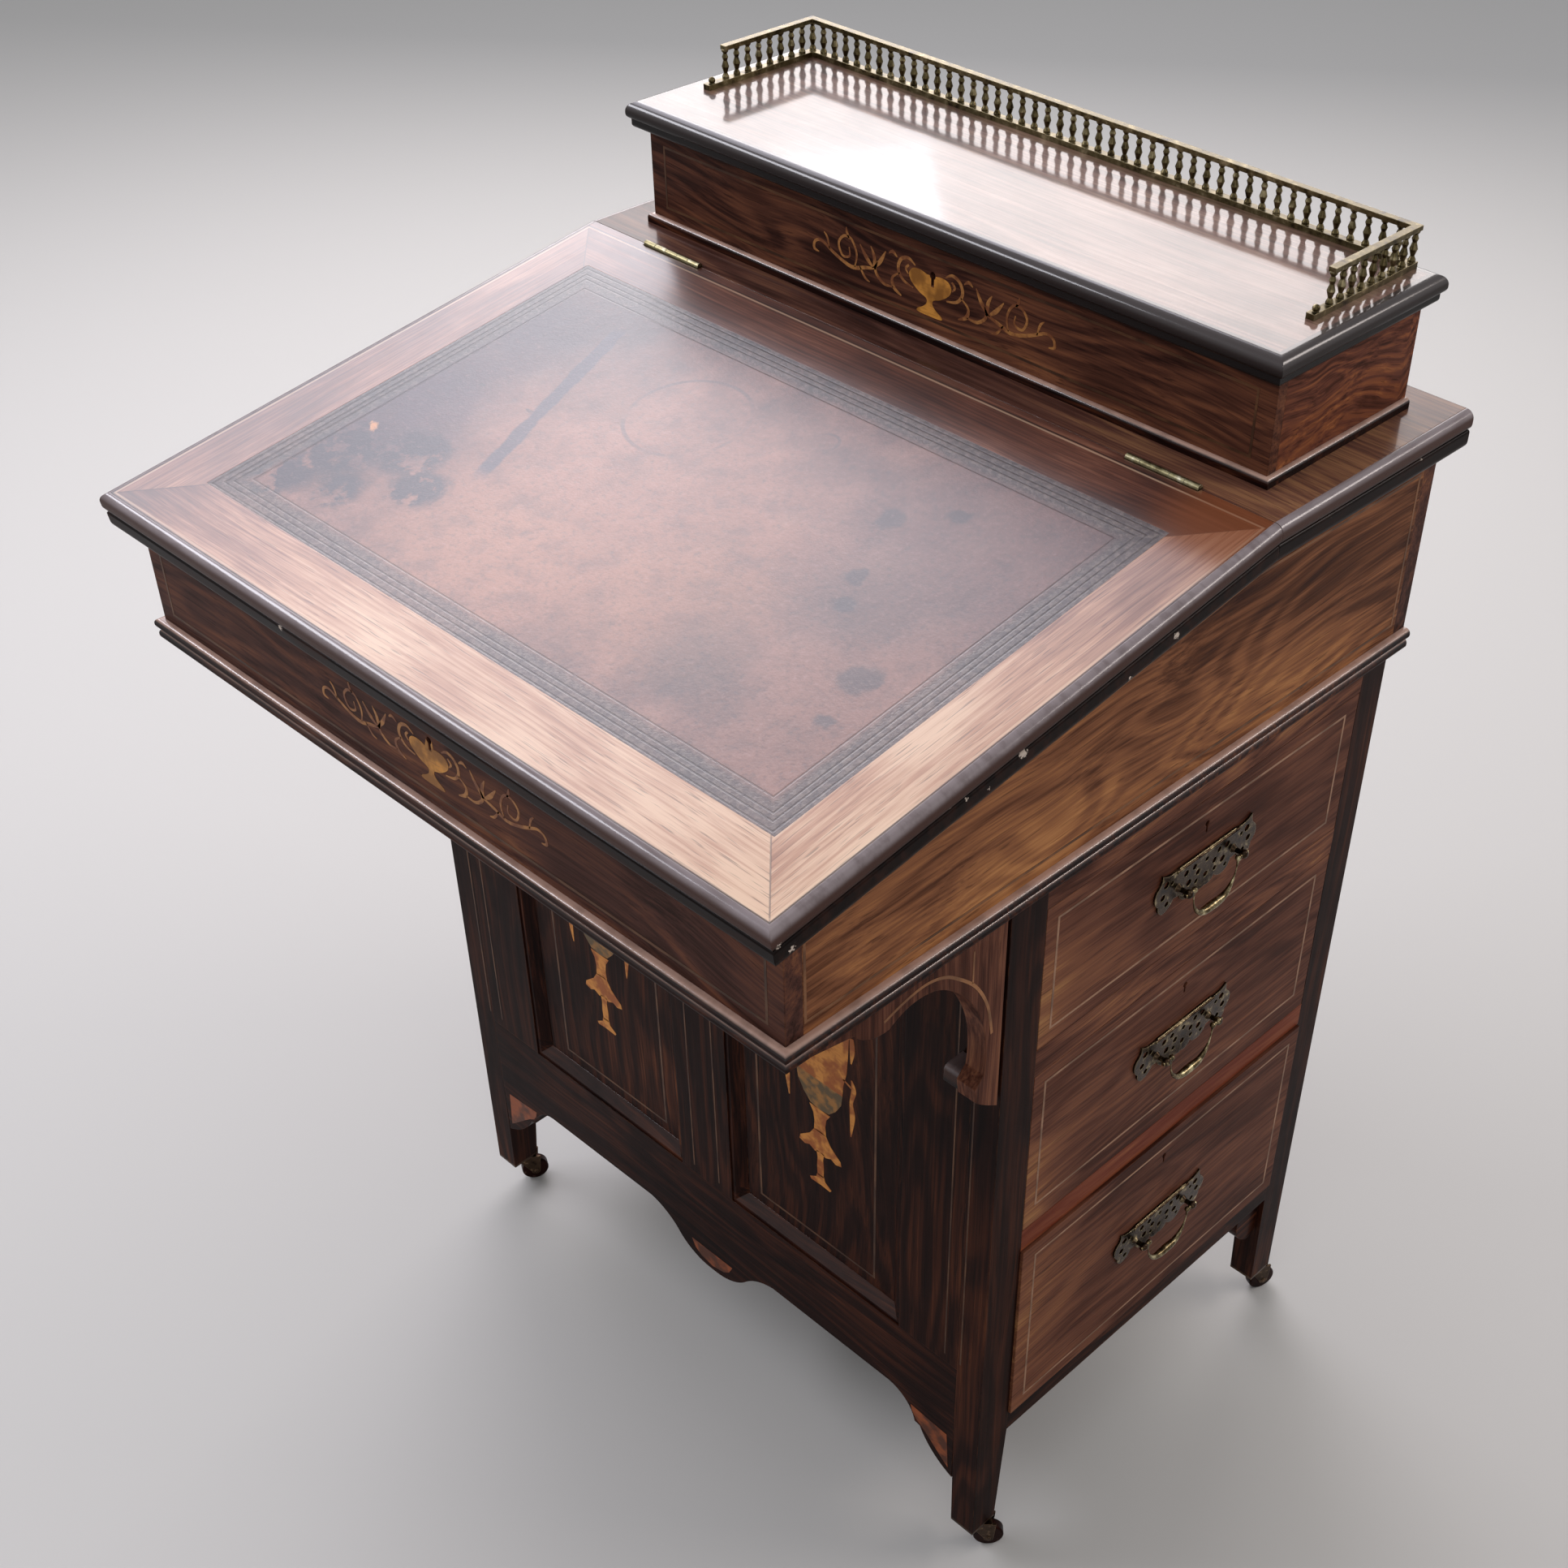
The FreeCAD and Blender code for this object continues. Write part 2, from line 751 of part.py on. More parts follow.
def lid_board():
    split = lid_low_z + lid_thick - lid_nose_high
    upper = block(-lid_half, lid_half, lid_front_y, lid_back_y, split, lid_low_z + lid_thick)
    upper = upper.makeFillet(lid_round, edges_where(upper, lambda b: b.ZMin > lid_low_z + lid_thick - 0.1))
    upper = upper.makeFillet(lid_under_round, edges_where(upper, lambda b: b.ZMax < split + 0.1))
    x = lid_half - lid_lower_set
    lower = block(-x, x, lid_front_y + lid_lower_set, lid_back_y - lid_lower_set, lid_low_z, split)
    lower = lower.makeFillet(lid_foot_round, edges_where(lower, lambda b: b.ZMax < lid_low_z + 0.1))
    body = fused([upper, lower])
    cuts = hinge_notches(lid_axis_y, lid_axis_z, hinge_length)
    for x in (-hinge_x, hinge_x):
        x0 = x - hinge_length / 2
        cuts.append(block(x0, x0 + hinge_length, lid_axis_y - leaf_width - 0.1, lid_axis_y + 0.2,
                          lid_low_z - 1, lid_low_z + leaf_thick))
    return cut_all(body, cuts)


def baluster(x, y, z0, z1):
    # turned profile from the foot collar up to the top collar
    h = z1 - z0
    stations = [(2.2, 0.0), (2.2, 0.09), (1.2, 0.2), (2.4, 0.42), (1.3, 0.62), (2.0, 0.74), (1.2, 0.86),
                (2.2, 0.94), (2.2, 1.0)]
    points = [Vector(0, 0, z0)]
    for radius, share in stations:
        points.append(Vector(radius, 0, z0 + h * share))
    points.append(Vector(0, 0, z1))
    face = Part.Face(Part.makePolygon(points + points[:1]))
    turned = face.revolve(Vector(0, 0, 0), Vector(0, 0, 1), 360)
    turned.translate(Vector(x, y, 0))
    return turned


def lid_gallery():
    z0 = lid_low_z + lid_thick
    z1 = z0 + gallery_base_high
    z2 = z0 + gallery_high - gallery_rail_high
    z3 = z0 + gallery_high
    w = gallery_rail_width / 2
    front = gallery_back_y - gallery_side_bays * gallery_side_step
    solids = []
    for low, high, nose, half in ((z0, z1, gallery_nose, w), (z2, z3, 1.6, w - 0.3)):
        x = gallery_half
        solids.append(block(-x - half, x + half, gallery_back_y - half, gallery_back_y + half, low, high))
        for side in (-1, 1):
            solids.append(block(side * x - half, side * x + half, front - nose, gallery_back_y, low, high))
    places = []
    for i in range(1, gallery_side_bays + 1):
        for side in (-1, 1):
            places.append((side * gallery_half, gallery_back_y - i * gallery_side_step))
    for i in range(gallery_back_bays + 1):
        places.append((-gallery_half + i * 2 * gallery_half / gallery_back_bays, gallery_back_y))
    for x, y in places:
        solids.append(baluster(x, y, z1 - 0.2, z2 + 0.2))
    for side in (-1, 1):
        knob_y = front - gallery_nose + 5.0
        solids.append(Part.makeSphere(gallery_knob, Vector(side * gallery_half, knob_y, z1 + gallery_knob - 0.7)))
    return fused(solids)


# ---- drawers ----

def drawer_shift(index):
    return third_drawer_out if index == 2 else 0.0


def handle_centre_y():
    return (drawer_low_y + drawer_high_y) / 2.0


def key_centre_y():
    return handle_centre_y() - drawer_key_aside


def drawer_front(index):
    low, high = drawer_bands[index]
    x1 = ped_half + drawer_shift(index)
    panel = block(x1 - drawer_front_thick, x1, drawer_low_y + drawer_gap, drawer_high_y - drawer_gap,
                  low + drawer_gap, high - drawer_gap)
    hole = keyhole(key_centre_y(), x1, high - drawer_key_drop, "x", drawer_front_thick + 1)
    return panel.cut(hole)


def drawer_box(index):
    low, high = drawer_bands[index]
    x1 = ped_half + drawer_shift(index) - drawer_front_thick
    x0 = x1 - drawer_length
    y0 = drawer_low_y + drawer_gap
    y1 = drawer_high_y - drawer_gap
    z0 = low + 0.05
    z1 = high - drawer_head_gap
    outer = block(x0, x1, y0, y1, z0, z1)
    inner = block(x0 + drawer_wall, x1 + 1, y0 + drawer_wall, y1 - drawer_wall, z0 + drawer_floor, z1 + 1)
    return outer.cut(inner)


def plate_outline():
    # right half about the line between the posts: bar, flared tip, scrolled wing, scalloped fret
    w = plate_half
    return [
        (0, 15.0),
        ("line", (27.0, 15.0)),
        ("arc", (34.0, 14.0), (w - 5.5, 17.5)),
        ("arc", (w - 5.0, 12.0), (w - 2.0, 8.5)),
        ("arc", (w, 1.0), (w - 4.0, -5.0)),
        ("arc", (w - 4.5, -9.0), (w - 8.0, -12.5)),
        ("arc", (35.0, -11.0), (31.0, -6.0)),
        ("line", (25.0, -6.5)),
        ("arc", (17.0, -13.5), (9.0, -9.5)),
        ("arc", (5.0, -13.5), (0, -13.0)),
    ]


def plate_holes():
    side_holes = [(39.0, 9.0, 2.6), (41.5, 0.5, 2.3), (37.0, -6.5, 2.0), (33.5, 7.5, 1.6), (20.0, 7.0, 2.3),
                  (12.0, 7.5, 2.1), (16.5, -2.0, 2.5), (8.0, 1.5, 2.2), (20.0, -8.0, 1.6), (9.0, -5.0, 1.8)]
    return side_holes


def backplate(x_face, z):
    y = handle_centre_y()
    right = drawn(plate_outline(), lambda u, v: Vector(x_face, y + u, z + v), Vector(plate_thick, 0, 0))
    left = right.mirror(Vector(0, y, 0), Vector(0, 1, 0))
    plate = fused([right, left])
    through = x_face + plate_thick + 1
    holes = [rod(1.8, (x_face - 1, y, z + 7.0), (through, y, z + 7.0)),
             rod(2.2, (x_face - 1, y, z - 4.5), (through, y, z - 4.5))]
    for u, v, r in plate_holes():
        for side in (-1, 1):
            holes.append(rod(r, (x_face - 1, y + side * u, z + v), (through, y + side * u, z + v)))
    plate = cut_all(plate, holes)
    rib_x = x_face + plate_thick
    solids = [plate, rod(plate_rib, (rib_x, y - 30.0, z + 13.4), (rib_x, y + 30.0, z + 13.4))]
    pivot_x = x_face + handle_stand
    for side in (-1, 1):
        py = y + side * handle_pitch / 2
        solids.append(rod(post_neck, (x_face + 0.5, py, z), (pivot_x, py, z)))
        solids.append(Part.makeCone(post_boss, post_neck, plate_thick + 2.2, Vector(x_face, py, z), Vector(1, 0, 0)))
        solids.append(Part.makeSphere(post_ball, Vector(pivot_x, py, z)))
    body = fused(solids)
    bore = rod(post_bore, (pivot_x, y - handle_pitch / 2 - 9, z), (pivot_x, y + handle_pitch / 2 + 9, z))
    return body.cut(bore)


def bail(x_face, z):
    y = handle_centre_y()
    px = x_face + handle_stand
    half = handle_pitch / 2
    inner = half - post_ball - bail_side_gap
    low = z - bail_drop
    here = [
        Vector(px, y - inner, z),
        Vector(px, y - inner, z - 5.0),
        Vector(px, y - inner + 3.5, low + 7.0),
        Vector(px, y - inner + 10.5, low + 0.8),
        Vector(px, y, low),
        Vector(px, y + inner - 10.5, low + 0.8),
        Vector(px, y + inner - 3.5, low + 7.0),
        Vector(px, y + inner, z - 5.0),
        Vector(px, y + inner, z),
    ]
    curve = Part.BSplineCurve()
    curve.interpolate(here)
    shell = Part.BRepOffsetAPI.MakePipeShell(Part.Wire([curve.toShape()]))
    shell.setBiNormalMode(Vector(1, 0, 0))
    first = curve.FirstParameter
    span = curve.LastParameter - first
    for share, radius in ((0.0, bail_rod), (0.28, bail_rod * 1.05), (0.5, bail_grip), (0.72, bail_rod * 1.05),
                          (1.0, bail_rod)):
        at = first + span * share
        ring = Part.makeCircle(radius, curve.value(at), curve.tangent(at)[0])
        shell.add(Part.Wire([ring]))
    shell.build()
    shell.makeSolid()
    solids = [shell.shape()]
    for side in (-1, 1):
        solids.append(Part.makeSphere(bail_rod + 0.5, Vector(px, y + side * inner, z)))
        solids.append(rod(bail_pin, (px, y + side * inner, z), (px, y + side * (half + post_ball + 0.6), z)))
    return fused(solids)


# ---- casters ----

def corner(name):
    side = 1 if name[1] == "r" else -1
    x = side * (ped_half - foot_x / 2.0)
    y = ped_front_y + foot_y / 2.0 if name[0] == "f" else ped_back_y - foot_y / 2.0
    return x, y


def caster_plates():
    plates = []
    for name in trail_angles:
        x, y = corner(name)
        half_x = foot_x / 2.0
        half_y = foot_y / 2.0
        plate = block(x - half_x, x + half_x, y - half_y, y + half_y, foot_z - caster_plate, foot_z)
        tube = rod(swivel_pin + swivel_wall, (x, y, foot_z), (x, y, foot_z + swivel_depth))
        bore = rod(swivel_bore, (x, y, foot_z - caster_plate - 1), (x, y, foot_z + swivel_depth - 0.6))
        plates.append(fused([plate, tube]).cut(bore))
    return Part.makeCompound(plates)


def caster_fork(name):
    # modelled trailing along +X about its own pin, then turned and set under the foot
    inner = caster_wheel_width / 2.0 + caster_cheek_gap
    top = foot_z - caster_plate - 0.3
    crown = rod(7.5, (0, 0, top - 2.4), (0, 0, top))
    bridge = block(0, caster_trail + 2.0, -inner - caster_cheek, inner + caster_cheek, top - 2.4, top - 0.4)
    solids = [crown, bridge, rod(swivel_pin, (0, 0, top - 1), (0, 0, foot_z + swivel_depth - 1.2))]
    for side in (-1, 1):
        y0 = side * (inner + caster_cheek / 2.0) - caster_cheek / 2.0
        cheek = [
            (-2.0, top - 1.0),
            ("line", (caster_trail + 5.0, top - 1.0)),
            ("line", (caster_trail + 3.6, caster_wheel)),
            ("arc", (caster_trail, caster_wheel - 3.6), (caster_trail - 3.6, caster_wheel)),
        ]
        solids.append(drawn(cheek, lambda x, z, y0=y0: Vector(x, y0, z), Vector(0, caster_cheek, 0)))
    reach = inner + caster_cheek + 0.8
    solids.append(rod(caster_axle, (caster_trail, -reach, caster_wheel), (caster_trail, reach, caster_wheel)))
    return place_caster(fused(solids), name)


def caster_wheel_of(name):
    half = caster_wheel_width / 2.0
    tyre = rod(caster_wheel, (caster_trail, -half, caster_wheel), (caster_trail, half, caster_wheel))
    rims = edges_where(tyre, lambda b: b.YLength < 0.1)
    tyre = tyre.makeFillet(1.4, rims)
    bore = rod(caster_bore, (caster_trail, -half - 1, caster_wheel), (caster_trail, half + 1, caster_wheel))
    return place_caster(tyre.cut(bore), name)


def place_caster(shape, name):
    x, y = corner(name)
    shape.rotate(Vector(0, 0, 0), Vector(0, 0, 1), trail_angles[name])
    shape.translate(Vector(x, y, 0))
    return shape


# ---- everything out ----

save("legs_front", pair(front_leg()))
save("legs_back", pair(back_leg()))
save("front_frame", front_frame())
save("front_apron", front_apron())
save("front_panels", front_panels())
save("panel_mouldings", panel_mouldings())
save("side_rails", side_rails())
save("left_side_panel", left_side_panel())
save("left_false_fronts", left_false_fronts())
save("drawer_runners", drawer_runners())
save("back_panel", back_panel())
save("bottom_board", bottom_board())
save("foot_ears", foot_ears())
save("side_brackets", side_brackets())
save("ledge_blocks", ledge_blocks())
save("slope_front", slope_front())
save("slope_sides", slope_sides())
save("slope_back", slope_back())
save("slope_bottom", slope_bottom())
save("slope_bead", slope_bead())
save("top_rail", top_rail())
save("rail_mouldings", rail_mouldings())
save("stationery_front", stationery_front())
save("stationery_walls", stationery_walls())
save("stationery_bead", stationery_bead())
save("locks", locks())
save("hinge_leaves_fixed", hinge_leaves_fixed())
save("caster_plates", caster_plates())
save("flap_board", flap_board())
save("flap_leather", flap_leather())
save("flap_moulding", flap_moulding())
save("flap_hinge_leaves", flap_hinge_leaves())
save("lid_board", lid_board())
save("lid_gallery", lid_gallery())
save("lid_hinge_leaves", lid_hinge_leaves())

left_plates = []
for index in range(len(drawer_bands)):
    number = str(index + 1)
    face = ped_half + drawer_shift(index)
    save("drawer_" + number + "_front", drawer_front(index))
    save("drawer_" + number + "_box", drawer_box(index))
    save("drawer_" + number + "_backplate", backplate(face, handle_levels[index]))
    save("bail_right_" + number, bail(face, handle_levels[index]))
    save("bail_left_" + number, mirrored(bail(ped_half, handle_levels[index])))
    left_plates.append(mirrored(backplate(ped_half, handle_levels[index])))
save("left_backplates", Part.makeCompound(left_plates))

for name in trail_angles:
    save("caster_fork_" + name, caster_fork(name))
    save("caster_wheel_" + name, caster_wheel_of(name))
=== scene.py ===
import math
from functools import partial

import bmesh
import bpy
from mathutils import Matrix, Vector


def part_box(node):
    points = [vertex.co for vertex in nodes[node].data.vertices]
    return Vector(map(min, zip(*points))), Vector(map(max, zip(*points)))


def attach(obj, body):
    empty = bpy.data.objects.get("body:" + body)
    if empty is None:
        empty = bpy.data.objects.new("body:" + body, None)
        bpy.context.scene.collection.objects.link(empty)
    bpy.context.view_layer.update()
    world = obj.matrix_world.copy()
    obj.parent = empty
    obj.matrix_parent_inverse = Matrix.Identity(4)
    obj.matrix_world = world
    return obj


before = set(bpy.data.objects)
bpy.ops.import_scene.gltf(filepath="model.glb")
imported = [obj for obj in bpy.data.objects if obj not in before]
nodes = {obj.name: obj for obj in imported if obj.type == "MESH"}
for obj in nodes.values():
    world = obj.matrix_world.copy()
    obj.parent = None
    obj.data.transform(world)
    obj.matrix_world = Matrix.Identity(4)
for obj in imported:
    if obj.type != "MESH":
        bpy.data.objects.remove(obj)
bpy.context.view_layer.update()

mm = 0.001
print("stage: frame loaded,", len(nodes), "nodes")


def linear(hexColour):
    # sRGB hex to the linear numbers that the shaders take
    values = []
    for start in (1, 3, 5):
        c = int(hexColour[start:start + 2], 16) / 255
        values.append(c / 12.92 if c <= 0.04045 else ((c + 0.055) / 1.055) ** 2.4)
    return (*values, 1)


def outOf(value):
    # a node stands for its first output in use
    return next(o for o in value.outputs if o.enabled) if isinstance(value, bpy.types.Node) else value


def addNode(tree, kind, inputs=()):
    # a kind is a type with its own settings; inputs are numbers, hex colours, sockets or nodes, and come in
    # order or by name
    node = tree.nodes.new("ShaderNode" + kind[0])
    for key, value in kind[1].items():
        if key == "stops":
            first, last = node.color_ramp.elements
            first.position, first.color = value[0][0], linear(value[0][1])
            last.position, last.color = value[-1][0], linear(value[-1][1])
            for place, colour in value[1:-1]:
                node.color_ramp.elements.new(place).color = linear(colour)
        else:
            setattr(node, key, value)
    used = [socket for socket in node.inputs if socket.enabled]
    for key, value in inputs.items() if isinstance(inputs, dict) else enumerate(inputs):
        socket = node.inputs[key] if isinstance(key, str) else used[key]
        value = outOf(value)
        if isinstance(value, bpy.types.NodeSocket):
            tree.links.new(value, socket)
        else:
            socket.default_value = linear(value) if isinstance(value, str) else value
    return node


# the kinds of node in use, each with its settings
plus, minus, times, timesPlus, larger, smaller, size, wave = (("Math", {"operation": name}) for name in (
    "ADD", "SUBTRACT", "MULTIPLY", "MULTIPLY_ADD", "MAXIMUM", "MINIMUM", "ABSOLUTE", "SINE"))
vectorPlus, vectorMinus, vectorTimes, vectorTimesPlus, apart, dot = (
    ("VectorMath", {"operation": name}) for name in (
        "ADD", "SUBTRACT", "MULTIPLY", "MULTIPLY_ADD", "DISTANCE", "DOT_PRODUCT"))
soft, even = (("MapRange", {"interpolation_type": name}) for name in ("SMOOTHSTEP", "LINEAR"))
numbers, vectors, colours = (("Mix", {"data_type": name}) for name in ("FLOAT", "VECTOR", "RGBA"))
placed, bevel = ("Mapping", {"vector_type": "TEXTURE"}), ("Bevel", {"samples": 4})
coordinates, geometry, split, joined, noise, cells, bumped = ((name, {}) for name in (
    "TexCoord", "NewGeometry", "SeparateXYZ", "CombineXYZ", "TexNoise", "TexVoronoi", "Bump"))


def newMaterial(name):
    # a material, what adds a node to it, and its shader
    material = bpy.data.materials.new(name)
    material.use_nodes = True
    tree = material.node_tree
    return material, partial(addNode, tree), tree.nodes["Principled BSDF"]


def dress(shader, fixed, driven):
    # fixed values go on the shader's own sockets, driven ones are links
    for key, value in fixed.items():
        shader.inputs[key].default_value = value
    for key, value in driven.items():
        shader.id_data.links.new(outOf(value), shader.inputs[key])


def millimetres(add, moved=(0, 0, 0), turned=(0, 0, 0)):
    # object coordinates in mm, measured from a point and turned if asked
    return add(placed, {"Vector": add(coordinates).outputs["Object"], "Location": [v * mm for v in moved],
                        "Rotation": turned, "Scale": (mm, mm, mm)})


def wornEdge(add, radius):
    # the normal as if the edge were rubbed round over a radius in mm, and 1 on such an edge
    worn = add(bevel, {"Radius": radius * mm})
    same = add(dot, [worn, add(geometry).outputs["Normal"]])
    return worn, add(soft, [same, 0.99, 0.86])


def spot(add, place, at, reach, full, part=1):
    # a round patch, radii in mm: part of 1 within the full one, fading out to its reach
    return add(soft, [add(apart, [place, at]), reach, full, 0, part])


def lineAt(add, value, at, reach, full, part=1):
    # a line where a value in mm comes to a place, half widths as above
    return add(soft, [add(size, [add(minus, [value, at])]), reach, full, 0, part])


# sizes in mm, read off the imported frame
def corners(node):
    low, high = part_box(node)
    return low / mm, high / mm


slopeFrontLow, slopeFrontHigh = corners("slope_front")
slopeSideLow, slopeSideHigh = corners("slope_sides")
statLow, statHigh = corners("stationery_front")
statWallLow, statWallHigh = corners("stationery_walls")
railLow, railHigh = corners("top_rail")
mouldLow, mouldHigh = corners("flap_moulding")
lidLow, lidHigh = corners("lid_board")
frameLow, frameHigh = corners("front_frame")
panelLow, panelHigh = corners("front_panels")
apronLow = corners("front_apron")[0]
legLow = corners("legs_front")[0]
bracketLow, bracketHigh = corners("side_brackets")
topZ = railHigh.z
kinkY = railLow.y
flapAngle = math.atan(0.1484)                # the slope of the writing flap
flapLength = 380                             # from the hinge line to the front, along the slope
flapOrigin, flapTilt = (0, kinkY, topZ), (flapAngle, 0, 0)
mouldingsLow = corners("panel_mouldings")[0].z
wallThick, lowMould, veneerThick = 9, 16, 6
# the leather, from the desk's middle and from the hinge line
leather = {"half": 235.5, "back": 40.7, "front": 334.4}
seam = 0.2                                   # half the width of the change from one wood to the next
mouldWide = mouldHigh.x - corners("flap_board")[1].x
print("stage: sizes read")


# masks and tints for the woods: each takes what adds a node and the separated coordinates in mm
def railMask(add, parts):
    # the top rails between the stiles of the front frame
    return add(soft, [parts[2], panelHigh.z - seam, panelHigh.z + seam])


def backMask(add, parts):
    # the back wall of the stationery box
    inside = statWallHigh.y - wallThick
    return add(soft, [parts[1], inside - seam, inside + seam])


def uprightMask(add, parts):
    # the upright panel mouldings, above the lowest ones
    above = mouldingsLow + lowMould
    return add(soft, [parts[2], above - seam, above + seam])


def flapInsets(add, parts):
    # how far in from the flap's side, and from its nearer end
    side = add(minus, [-mouldLow.x, add(size, [parts[0]])])
    back = add(times, [parts[1], -1])
    front = add(plus, [parts[1], flapLength])
    return side, add(smaller, [back, front])


def flapFace(add, parts):
    # the veneered upper side of the flap; below it the board is plain
    return add(even, [parts[2], -veneerThick - seam, -veneerThick + seam])


def bandMask(add, parts):
    # the side bands of the flap, mitred into the front and back bands
    side, end = flapInsets(add, parts)
    mitre = add(soft, [add(minus, [end, side]), -0.3, 0.3])
    return add(times, [mitre, flapFace(add, parts)])


# bleaching of the flap's bands, in mm from the middle and from the hinge line, and how much lighter they get
bleached = {
    "frontAlong": (-290, -70, -0.28, 0.38),
    "frontFrom": (-280, -330, -0.3),
    "rightDown": (0, -380, 0.28, 0.54),
    "middle": (-60, 60),
    "leftPart": -0.14,
    "plainWood": -0.2,
}


def bandBleach(add, parts):
    # the front band is bleached most, the right band less and more so to the front, the others hardly
    along = add(soft, [parts[0], *bleached["frontAlong"]])
    front = add(soft, [parts[1], *bleached["frontFrom"], along])
    down = add(soft, [parts[1], *bleached["rightDown"]])
    right = add(soft, [parts[0], *bleached["middle"]])
    side = add(timesPlus, [add(times, [down, right]), 1, bleached["leftPart"]])
    bleachAndHighlight = add(numbers, [bandMask(add, parts), front, side])
    return add(numbers, [flapFace(add, parts), bleached["plainWood"], bleachAndHighlight])


# lines along the flap's moulding: how far in, half width, strength and shade; and the far right corner, which
# kept its colour
flapLines = {
    "mitre": "#2a1712",
    "along": [(mouldWide + 0.5, 0.7, 0.85, "#1c1210"), (mouldWide + 2, 0.9, 0.4, "#e0c0a0")],
    "corner": {"at": (262, -14, 0), "reach": 66, "full": 20, "part": 0.6, "shade": "#84461f"},
}


def mitreLines(add, parts, plain):
    # dark glue lines in the mitres, and a pale line with a dark one along the moulding
    side, end = flapInsets(add, parts)
    line = lineAt(add, end, side, 0.9, 0.3, 0.6)
    outside = add(soft, [side, 50, 44])
    colour = add(colours, [add(times, [line, outside]), plain, flapLines["mitre"]])
    inset = add(smaller, [side, end])
    for place, half, part, shade in flapLines["along"]:
        colour = add(colours, [lineAt(add, inset, place, half, half * 0.4, part), colour, shade])
    kept = flapLines["corner"]
    corner = spot(add, add(joined, list(parts)), kept["at"], kept["reach"], kept["full"], kept["part"])
    colour = add(colours, [corner, colour, kept["shade"]])
    return add(colours, [flapFace(add, parts), plain, colour])


def towardsFront(add, parts):
    # golden towards the low front corner, darker up by the back
    return add(soft, [parts[1], 260, -260, -0.06, 0.1])


goldenCorner = {"y": -74, "z": [496, 344], "reach": 74, "full": 12, "lift": 0.24}


def lowCorner(add, parts):
    # golden at the sitter's end of the drawer fronts, most in the low corners of the upper two
    lift = add(soft, [parts[1], 40, -70, -0.06, 0.12])
    face = add(joined, [0, parts[1], parts[2]])
    look = goldenCorner
    for z in look["z"]:
        patch = spot(add, face, (0, look["y"], z), look["reach"], look["full"], look["lift"])
        lift = add(plus, [lift, patch])
    return lift


def rightEnd(add, parts):
    # redder and lighter towards the right
    return add(soft, [parts[0], -100, 280, -0.08, 0.1])


# the rim's worn colour is a painted highlight along its upper round
rimLook = {"wide": 9, "low": "#0f0a09", "worn": "#332927", "under": "#41241a", "underPart": 0.75}


def lidRim(add, parts, colour):
    # ebonised moulding round the lid: nearly black below, greyer along its upper round as a painted highlight;
    # plain brown underneath
    side = add(minus, [lidHigh.x, add(size, [parts[0]])])
    front = add(minus, [parts[1], lidLow.y])
    back = add(minus, [lidHigh.y, parts[1]])
    inset = add(smaller, [add(smaller, [side, front]), back])
    rim = add(even, [inset, rimLook["wide"] + 2 * seam, rimLook["wide"] - 2 * seam])
    height = add(soft, [parts[2], lidLow.z + 5, lidHigh.z - 1])
    tone = add(colours, [height, rimLook["low"], rimLook["worn"]])
    under = add(even, [parts[2], lidHigh.z - 2, lidHigh.z - 3, 0, rimLook["underPart"]])
    colour = add(colours, [under, colour, rimLook["under"]])
    return add(colours, [rim, colour, tone])


# Rio rosewood, quarter and flat cut, French polished: dark wavy lines on red-brown, long open pores under a
# clear film that mirrors the sky on the level faces and is worn to a low sheen on the upright ones
rosewoodLook = {
    "grain": "x",
    "tones": ["#090403", "#160806", "#24100b", "#3e1f13", "#633822"],
    "swirl": 24,          # mm that the grain wanders
    "swirlSize": 150,     # mm between its bends
    "figureSize": 40,     # mm across a growth figure
    "rings": 8,           # dark lines in one figure
    "ringPart": 0.2,
    "streak": 2.6,        # mm between colour streaks
    "streakPart": 0.5,
    "patchSize": 90,      # mm between paler and darker areas
    "patchPart": 0.55,
    "pore": 1.2,          # mm between pores, drawn twice as coarse as real ones so that they show
    "gloss": 0.06,        # how much of the polish film is left
    "polish": 0.12,       # roughness of the film
    "shine": 0.03,        # specular level of the wood under it
    "roughness": 0.45,
    "wear": "#8a5a3c",
    "wearPart": 0.35,
    "edge": 0.9,          # mm, radius of the rubbed edges
    "shift": 0,
}


